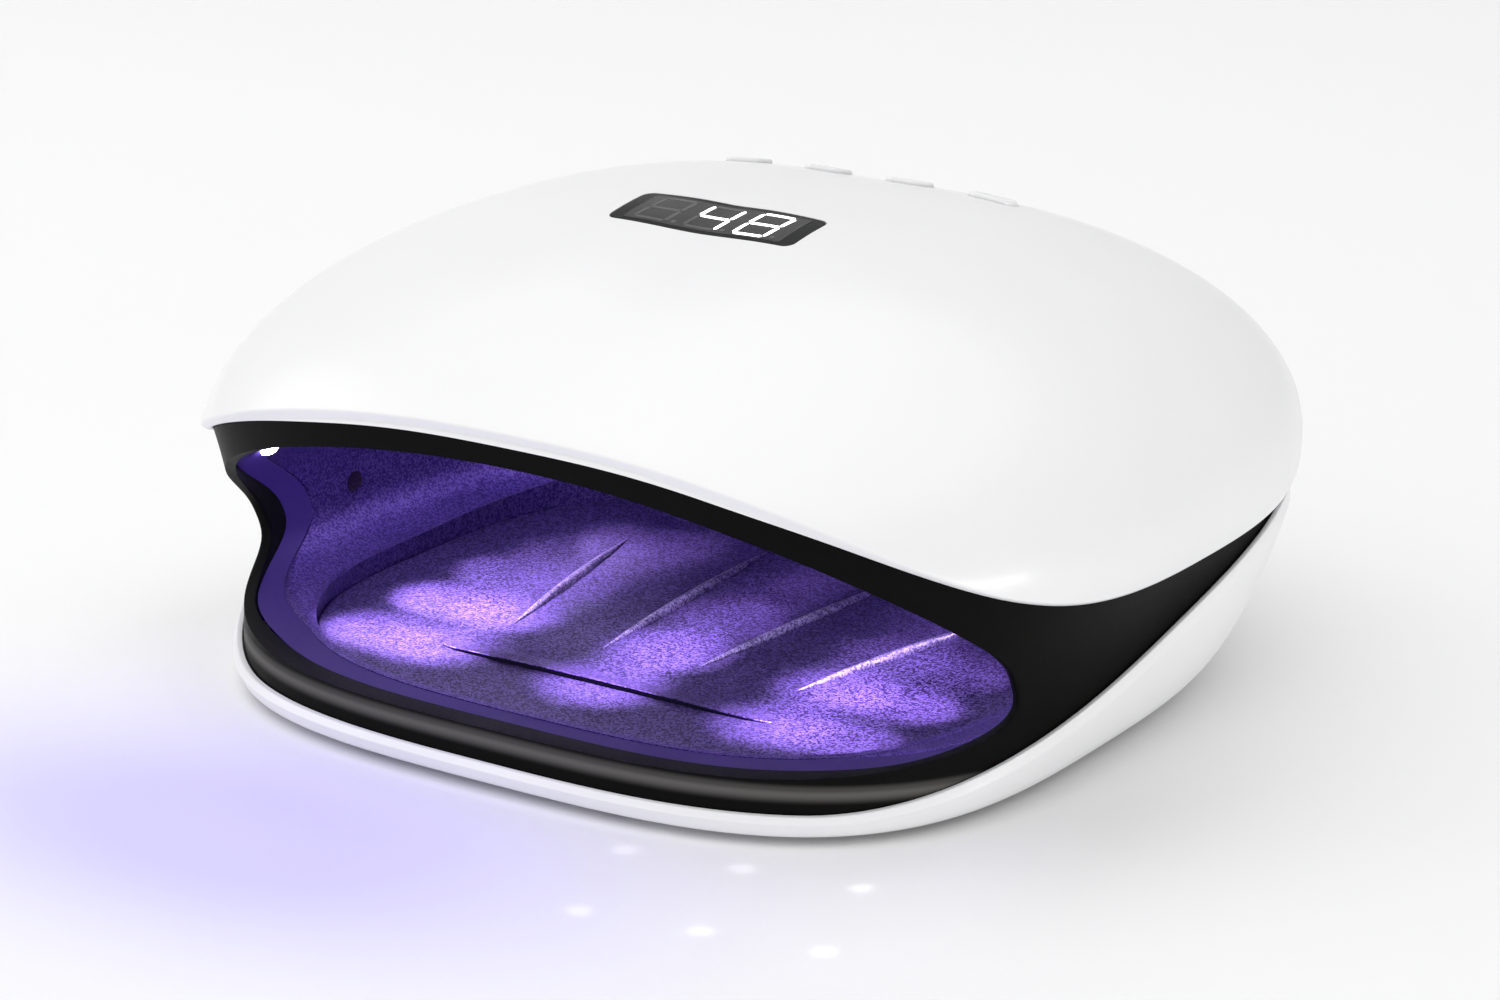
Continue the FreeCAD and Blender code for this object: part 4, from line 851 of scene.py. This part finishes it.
# ---- controls --------------------------------------------------------------------------------------------
def make_button(number, x):
    """Pill-shaped key: its top follows the dome one millimetre up and is dished in the middle."""
    outline = pill_outline(0, 0, BUTTON_LONG, BUTTON_SHORT, 96)
    seat = float(crown_height(x, BUTTON_Y, SHELL_WALL)) - KEY_SEAT_DROP
    foot = np.column_stack([outline + (x, BUTTON_Y), np.full(len(outline), seat)])
    rows = [np.broadcast_to([x, BUTTON_Y, seat], foot.shape), foot]
    for scale, rise in KEY_EDGE + KEY_DISH:
        spot = outline * scale + (x, BUTTON_Y)
        rows.append(np.column_stack([spot, crown_height(spot[:, 0], spot[:, 1]) + rise]))
    name = f"button_{number}"
    ring_piece(f"{name}_key", rows, name, [f"button_cap_{number}"], KEY_WHITE)
    turn = np.linspace(0, 2 * np.pi, 32, endpoint=False)
    stem = []
    for radius, z in ((0, seat + STEM_TOP), (STEM_RADIUS, seat + STEM_TOP), (STEM_RADIUS, STEM_FOOT_Z),
                      (0, STEM_FOOT_Z)):
        stem.append(np.stack([x + radius * np.cos(turn), BUTTON_Y + radius * np.sin(turn), z + 0 * turn], -1))
    ring_piece(f"{name}_stem", stem, name, [], KEY_WHITE)


def lid_grid(name, outline, lift, thick, material, nodes=(), rings=16):
    """Plate on the dome: outline shrunk to its middle in rings, each point lifted above the dome."""
    outline = dense(outline, 0.8)
    centre = (outline.min(0) + outline.max(0)) / 2
    rows = []
    for share in np.linspace(1, 0, rings):
        spot = centre + (outline - centre) * share
        rows.append(np.column_stack([spot, crown_height(spot[:, 0], spot[:, 1]) + lift]))
    under = rows[0] - (0, 0, thick)
    base = rows[-1] - (0, 0, thick)
    ring_piece(name, [base, under] + rows, "housing", nodes, material, shade_angle=45)


def make_display():
    """Black bordered window, its smoked face and three seven-segment figures of which two are lit."""
    border = box_outline(0, DISPLAY_Y, DISPLAY_WIDTH, DISPLAY_DEPTH, DISPLAY_CORNER)
    lid_grid("window_border", border, -WINDOW_SINK, WINDOW_THICK, WINDOW_BLACK, ["display_window"])
    face = box_outline(0, DISPLAY_Y, FACE_WIDTH, FACE_DEPTH, FACE_CORNER)
    lid_grid("window_face", face, 0.0, FACE_THICK, WINDOW_SMOKE)
    for place, lit in enumerate(("", "bcfg", "abcdefg")):
        centre_x = (place - 1) * FIGURE_PITCH - FIGURE_SHIFT
        for segment in "abcdefg":
            bar(f"figure_{place}_{segment}", centre_x, segment, DIGIT_LIT if segment in lit else DIGIT_DARK)
        point(f"figure_{place}_point", centre_x + POINT_X, DISPLAY_Y + POINT_Y)


def bar(name, centre_x, segment, material):
    """One straight segment with pointed ends, leaning like the rest of its figure."""
    w, h, b = FIGURE_WIDE / 2, FIGURE_HIGH / 2, FIGURE_BAR / 2
    lines = {"a": (-w, h, w, h), "g": (-w, 0, w, 0), "d": (-w, -h, w, -h), "f": (-w, 0, -w, h),
             "e": (-w, -h, -w, 0), "b": (w, 0, w, h), "c": (w, -h, w, 0)}
    x0, y0, x1, y1 = lines[segment]
    along = np.array([x1 - x0, y1 - y0]) / math.hypot(x1 - x0, y1 - y0)
    side = np.array([-along[1], along[0]])
    start, end = np.array([x0, y0]) + along * FIGURE_GAP, np.array([x1, y1]) - along * FIGURE_GAP
    corners = np.array([start, start + along * b - side * b, end - along * b - side * b, end,
                        end - along * b + side * b, start + along * b + side * b])
    corners[:, 0] += corners[:, 1] * FIGURE_SLANT
    spot = corners + (centre_x, DISPLAY_Y)
    lid_grid(name, spot, FIGURE_LIFT, FIGURE_THICK, material, rings=3)


def point(name, x, y):
    """Round unlit decimal point."""
    turn = np.linspace(0, 2 * np.pi, 16, endpoint=False)
    spot = np.stack([x + POINT_RADIUS * np.cos(turn), y + POINT_RADIUS * np.sin(turn)], -1)
    lid_grid(name, spot, FIGURE_LIFT, FIGURE_THICK, DIGIT_DARK, rings=3)


# ---- parts kept from the frame ---------------------------------------------------------------------------
def dress_nodes():
    """The small inner parts keep their own solids and only take a finish."""
    dress = {
        "led_beads": LAMP_LIT, "led_boards": BOARD_WHITE, "ir_sensors": SENSOR_DARK, "tray_magnets": NICKEL,
        "keeper_magnets": NICKEL, "feet": FOOT_RUBBER, "switch_bodies": CHIP_BLACK,
        "control_board": BOARD_GREEN, "board_parts": CHIP_BLACK, "board_screws": STEEL, "shell_screws": STEEL,
        "bezel_screws": STEEL, "display_digits": CHIP_BLACK, "display_header": BOARD_GREEN,
        "dc_jack": CHIP_BLACK, "power_lead": LEAD_SLEEVE}
    for number in range(1, 5):
        dress[f"switch_plunger_{number}"] = CHIP_BLACK
    for name, material in dress.items():
        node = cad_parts[name]
        node.data.materials.clear()
        node.data.materials.append(material)


# ---- stage, lights, camera -------------------------------------------------------------------------------
def area_light(name, spot, target, width, height, watts, colour=(1, 1, 1)):
    """Elliptical soft light at a spot, turned towards a target."""
    data = bpy.data.lights.new(name, "AREA")
    data.shape, data.size, data.size_y, data.energy, data.color = "ELLIPSE", width, height, watts, colour
    lamp = bpy.data.objects.new(name, data)
    lamp.location = spot
    lamp.rotation_euler = (Vector(target) - Vector(spot)).to_track_quat("-Z", "Y").to_euler()
    bpy.context.collection.objects.link(lamp)


def lamp_light(turn, row, watts):
    """Small violet light just under one diode, aimed square off the chamber's wall."""
    ring = chamber_ring(np.array([turn, turn + 0.5]), row, -LED_STAND_IN)
    ahead = chamber_ring(np.array([turn]), row + 0.5, -LED_STAND_IN)[0]
    inward = np.cross(ring[1] - ring[0], ahead - ring[0])
    inward /= np.linalg.norm(inward)
    if inward @ (np.array([0, row, MOUTH_WAIST_Z]) - ring[0]) < 0:
        inward = -inward
    data = bpy.data.lights.new(f"diode_light_{round(turn)}_{round(row)}", "SPOT")
    data.spot_size, data.spot_blend = math.radians(LAMP_CONE), 1.0
    data.energy, data.color, data.shadow_soft_size = watts, LAMP_VIOLET, 0.002
    lamp = bpy.data.objects.new(data.name, data)
    lamp.location = Vector(ring[0] * MM)
    lamp.rotation_euler = Vector(inward).to_track_quat("-Z", "Y").to_euler()
    bpy.context.collection.objects.link(lamp)


def floor_finish():
    """White, with a painted lavender glow on the stretch in front of the mouth: the lamp's violet light
    painted into the floor's colour.
    """
    material = finish_of("pale_floor_painted_glow", (0.93, 0.93, 0.93), 0.5, specular=0.2)
    shader = material.node_tree.nodes["Principled BSDF"]
    place = add(material, "ShaderNodeTexCoord")
    spread = add(material, "ShaderNodeMapping")
    spread.inputs["Location"].default_value = (-GLOW_X / GLOW_LONG, -GLOW_Y / GLOW_DEEP, 0)
    spread.inputs["Scale"].default_value = (1 / GLOW_LONG, 1 / GLOW_DEEP, 1)
    pool = add(material, "ShaderNodeTexGradient", gradient_type="QUADRATIC_SPHERE")
    ramp = add(material, "ShaderNodeValToRGB")
    ramp.color_ramp.elements[0].color = (0.93, 0.93, 0.93, 1)
    ramp.color_ramp.interpolation = "EASE"
    ramp.color_ramp.elements[1].position = 0.75
    # Lavender end of the ramp: painted violet light from the lamp.
    ramp.color_ramp.elements[1].color = (0.66, 0.63, 0.93, 1)
    join(material, place, "Object", spread, "Vector")
    join(material, spread, "Vector", pool, "Vector")
    join(material, pool, "Fac", ramp, "Fac")
    join(material, ramp, "Color", shader, "Base Color")
    return material


def make_floor_dots():
    """Two rows of three small white spots that the diodes throw on the table before the mouth."""
    for row in range(2):
        for column in range(3):
            data = bpy.data.lights.new(f"floor_dot_{row}_{column}", "SPOT")
            data.spot_size, data.spot_blend, data.energy = math.radians(DOT_CONE), 0.9, DOT_WATTS
            data.shadow_soft_size = 0.001
            lamp = bpy.data.objects.new(data.name, data)
            spot = Vector(DOT_START) + column * Vector(DOT_COLUMN) + row * Vector(DOT_ROW)
            lamp.location = (*spot, DOT_HEIGHT)
            bpy.context.collection.objects.link(lamp)


def make_stage():
    """Pale floor that turns up into a backdrop far behind."""
    turn = np.radians(np.linspace(0, 90, 24))
    bend = np.stack([FLOOR_FAR + np.sin(turn) * FLOOR_BEND, FLOOR_BEND - np.cos(turn) * FLOOR_BEND], -1)
    profile = np.concatenate([[[FLOOR_NEAR, 0.0]], bend, [[FLOOR_FAR + FLOOR_BEND, FLOOR_HIGH]]])
    sides = (-FLOOR_HALF_WIDTH, FLOOR_HALF_WIDTH)
    rows = [np.column_stack([np.full(len(profile), x), profile]) for x in sides]
    cosine, sine = math.cos(FLOOR_TURN), math.sin(FLOOR_TURN)
    spin = np.array([[cosine, -sine], [sine, cosine]])
    points = np.concatenate(rows)
    points[:, :2] = points[:, :2] @ spin.T
    count = len(profile)
    faces = [[i, i + 1, count + i + 1, count + i] for i in range(count - 1)]
    data = bpy.data.meshes.new("floor")
    data.from_pydata(points.tolist(), [], faces)
    floor = bpy.data.objects.new("floor", data)
    bpy.context.collection.objects.link(floor)
    data.materials.append(floor_finish())
    data.polygons.foreach_set("use_smooth", np.ones(len(data.polygons), bool))


def make_room():
    """White surroundings that dim from the left to the right."""
    world = bpy.data.worlds.new("studio")
    bpy.context.scene.world = world
    world.use_nodes = True
    nodes, links = world.node_tree.nodes, world.node_tree.links
    place, split = nodes.new("ShaderNodeTexCoord"), nodes.new("ShaderNodeSeparateXYZ")
    fade = nodes.new("ShaderNodeMapRange")
    fade.inputs["From Min"].default_value, fade.inputs["From Max"].default_value = 0.1, 0.9
    fade.inputs["To Min"].default_value, fade.inputs["To Max"].default_value = ROOM_LIGHT, ROOM_LIGHT_RIGHT
    links.new(place.outputs["Generated"], split.inputs["Vector"])
    links.new(split.outputs["X"], fade.inputs["Value"])
    links.new(fade.outputs["Result"], nodes["Background"].inputs["Strength"])
    nodes["Background"].inputs["Color"].default_value = (1, 1, 1, 1)


def make_lights():
    """Three soft studio lights, one light under each diode, and the violet spill before the mouth."""
    area_light("overhead", (-0.2, 0.1, 1.6), (0, 0, 0.05), 2.2, 2.2, 7.6)
    area_light("left_key", (-1.2, -0.4, 0.8), (0, 0, 0.06), 1.2, 1.0, 3)
    area_light("right_low", (1.3, -0.5, 0.12), (0.1, 0, 0.02), 1.2, 0.2, 4.5)
    for row, watts in zip(LED_ROWS, LAMP_WATTS):
        for turn in LED_ANGLES:
            lamp_light(turn, row, watts)
    area_light("floor_spill", (-0.02, -0.095, 0.05), (-0.04, -0.2, 0), 0.12, 0.03, 0.012, (0.4, 0.3, 1.0))
    make_floor_dots()


def make_camera():
    """Seen from the right front, a little above, through a long lens."""
    data = bpy.data.cameras.new("camera")
    data.lens, data.sensor_width, data.clip_start = CAMERA_LENS, CAMERA_SENSOR, CAMERA_NEAR
    camera = bpy.data.objects.new("camera", data)
    bpy.context.collection.objects.link(camera)
    around, up = math.radians(CAMERA_AROUND), math.radians(CAMERA_UP)
    target = Vector(CAMERA_TARGET)
    way = Vector((math.sin(around) * math.cos(up), -math.cos(around) * math.cos(up), math.sin(up)))
    camera.location = target + way * CAMERA_REACH
    camera.rotation_euler = (-way).to_track_quat("-Z", "Y").to_euler()
    bpy.context.scene.camera = camera


bpy.context.scene.view_settings.view_transform = "Standard"
make_stage()
make_room()
make_lights()
make_camera()
make_top_shell()
make_lower_housing()
make_rear_boss()
make_bezel()
make_chamber()
make_tray_frame()
make_tray()
make_finger_rest()
make_ribs()
for button_number, button_x in enumerate(BUTTON_XS, 1):
    make_button(button_number, button_x)
make_display()
dress_nodes()
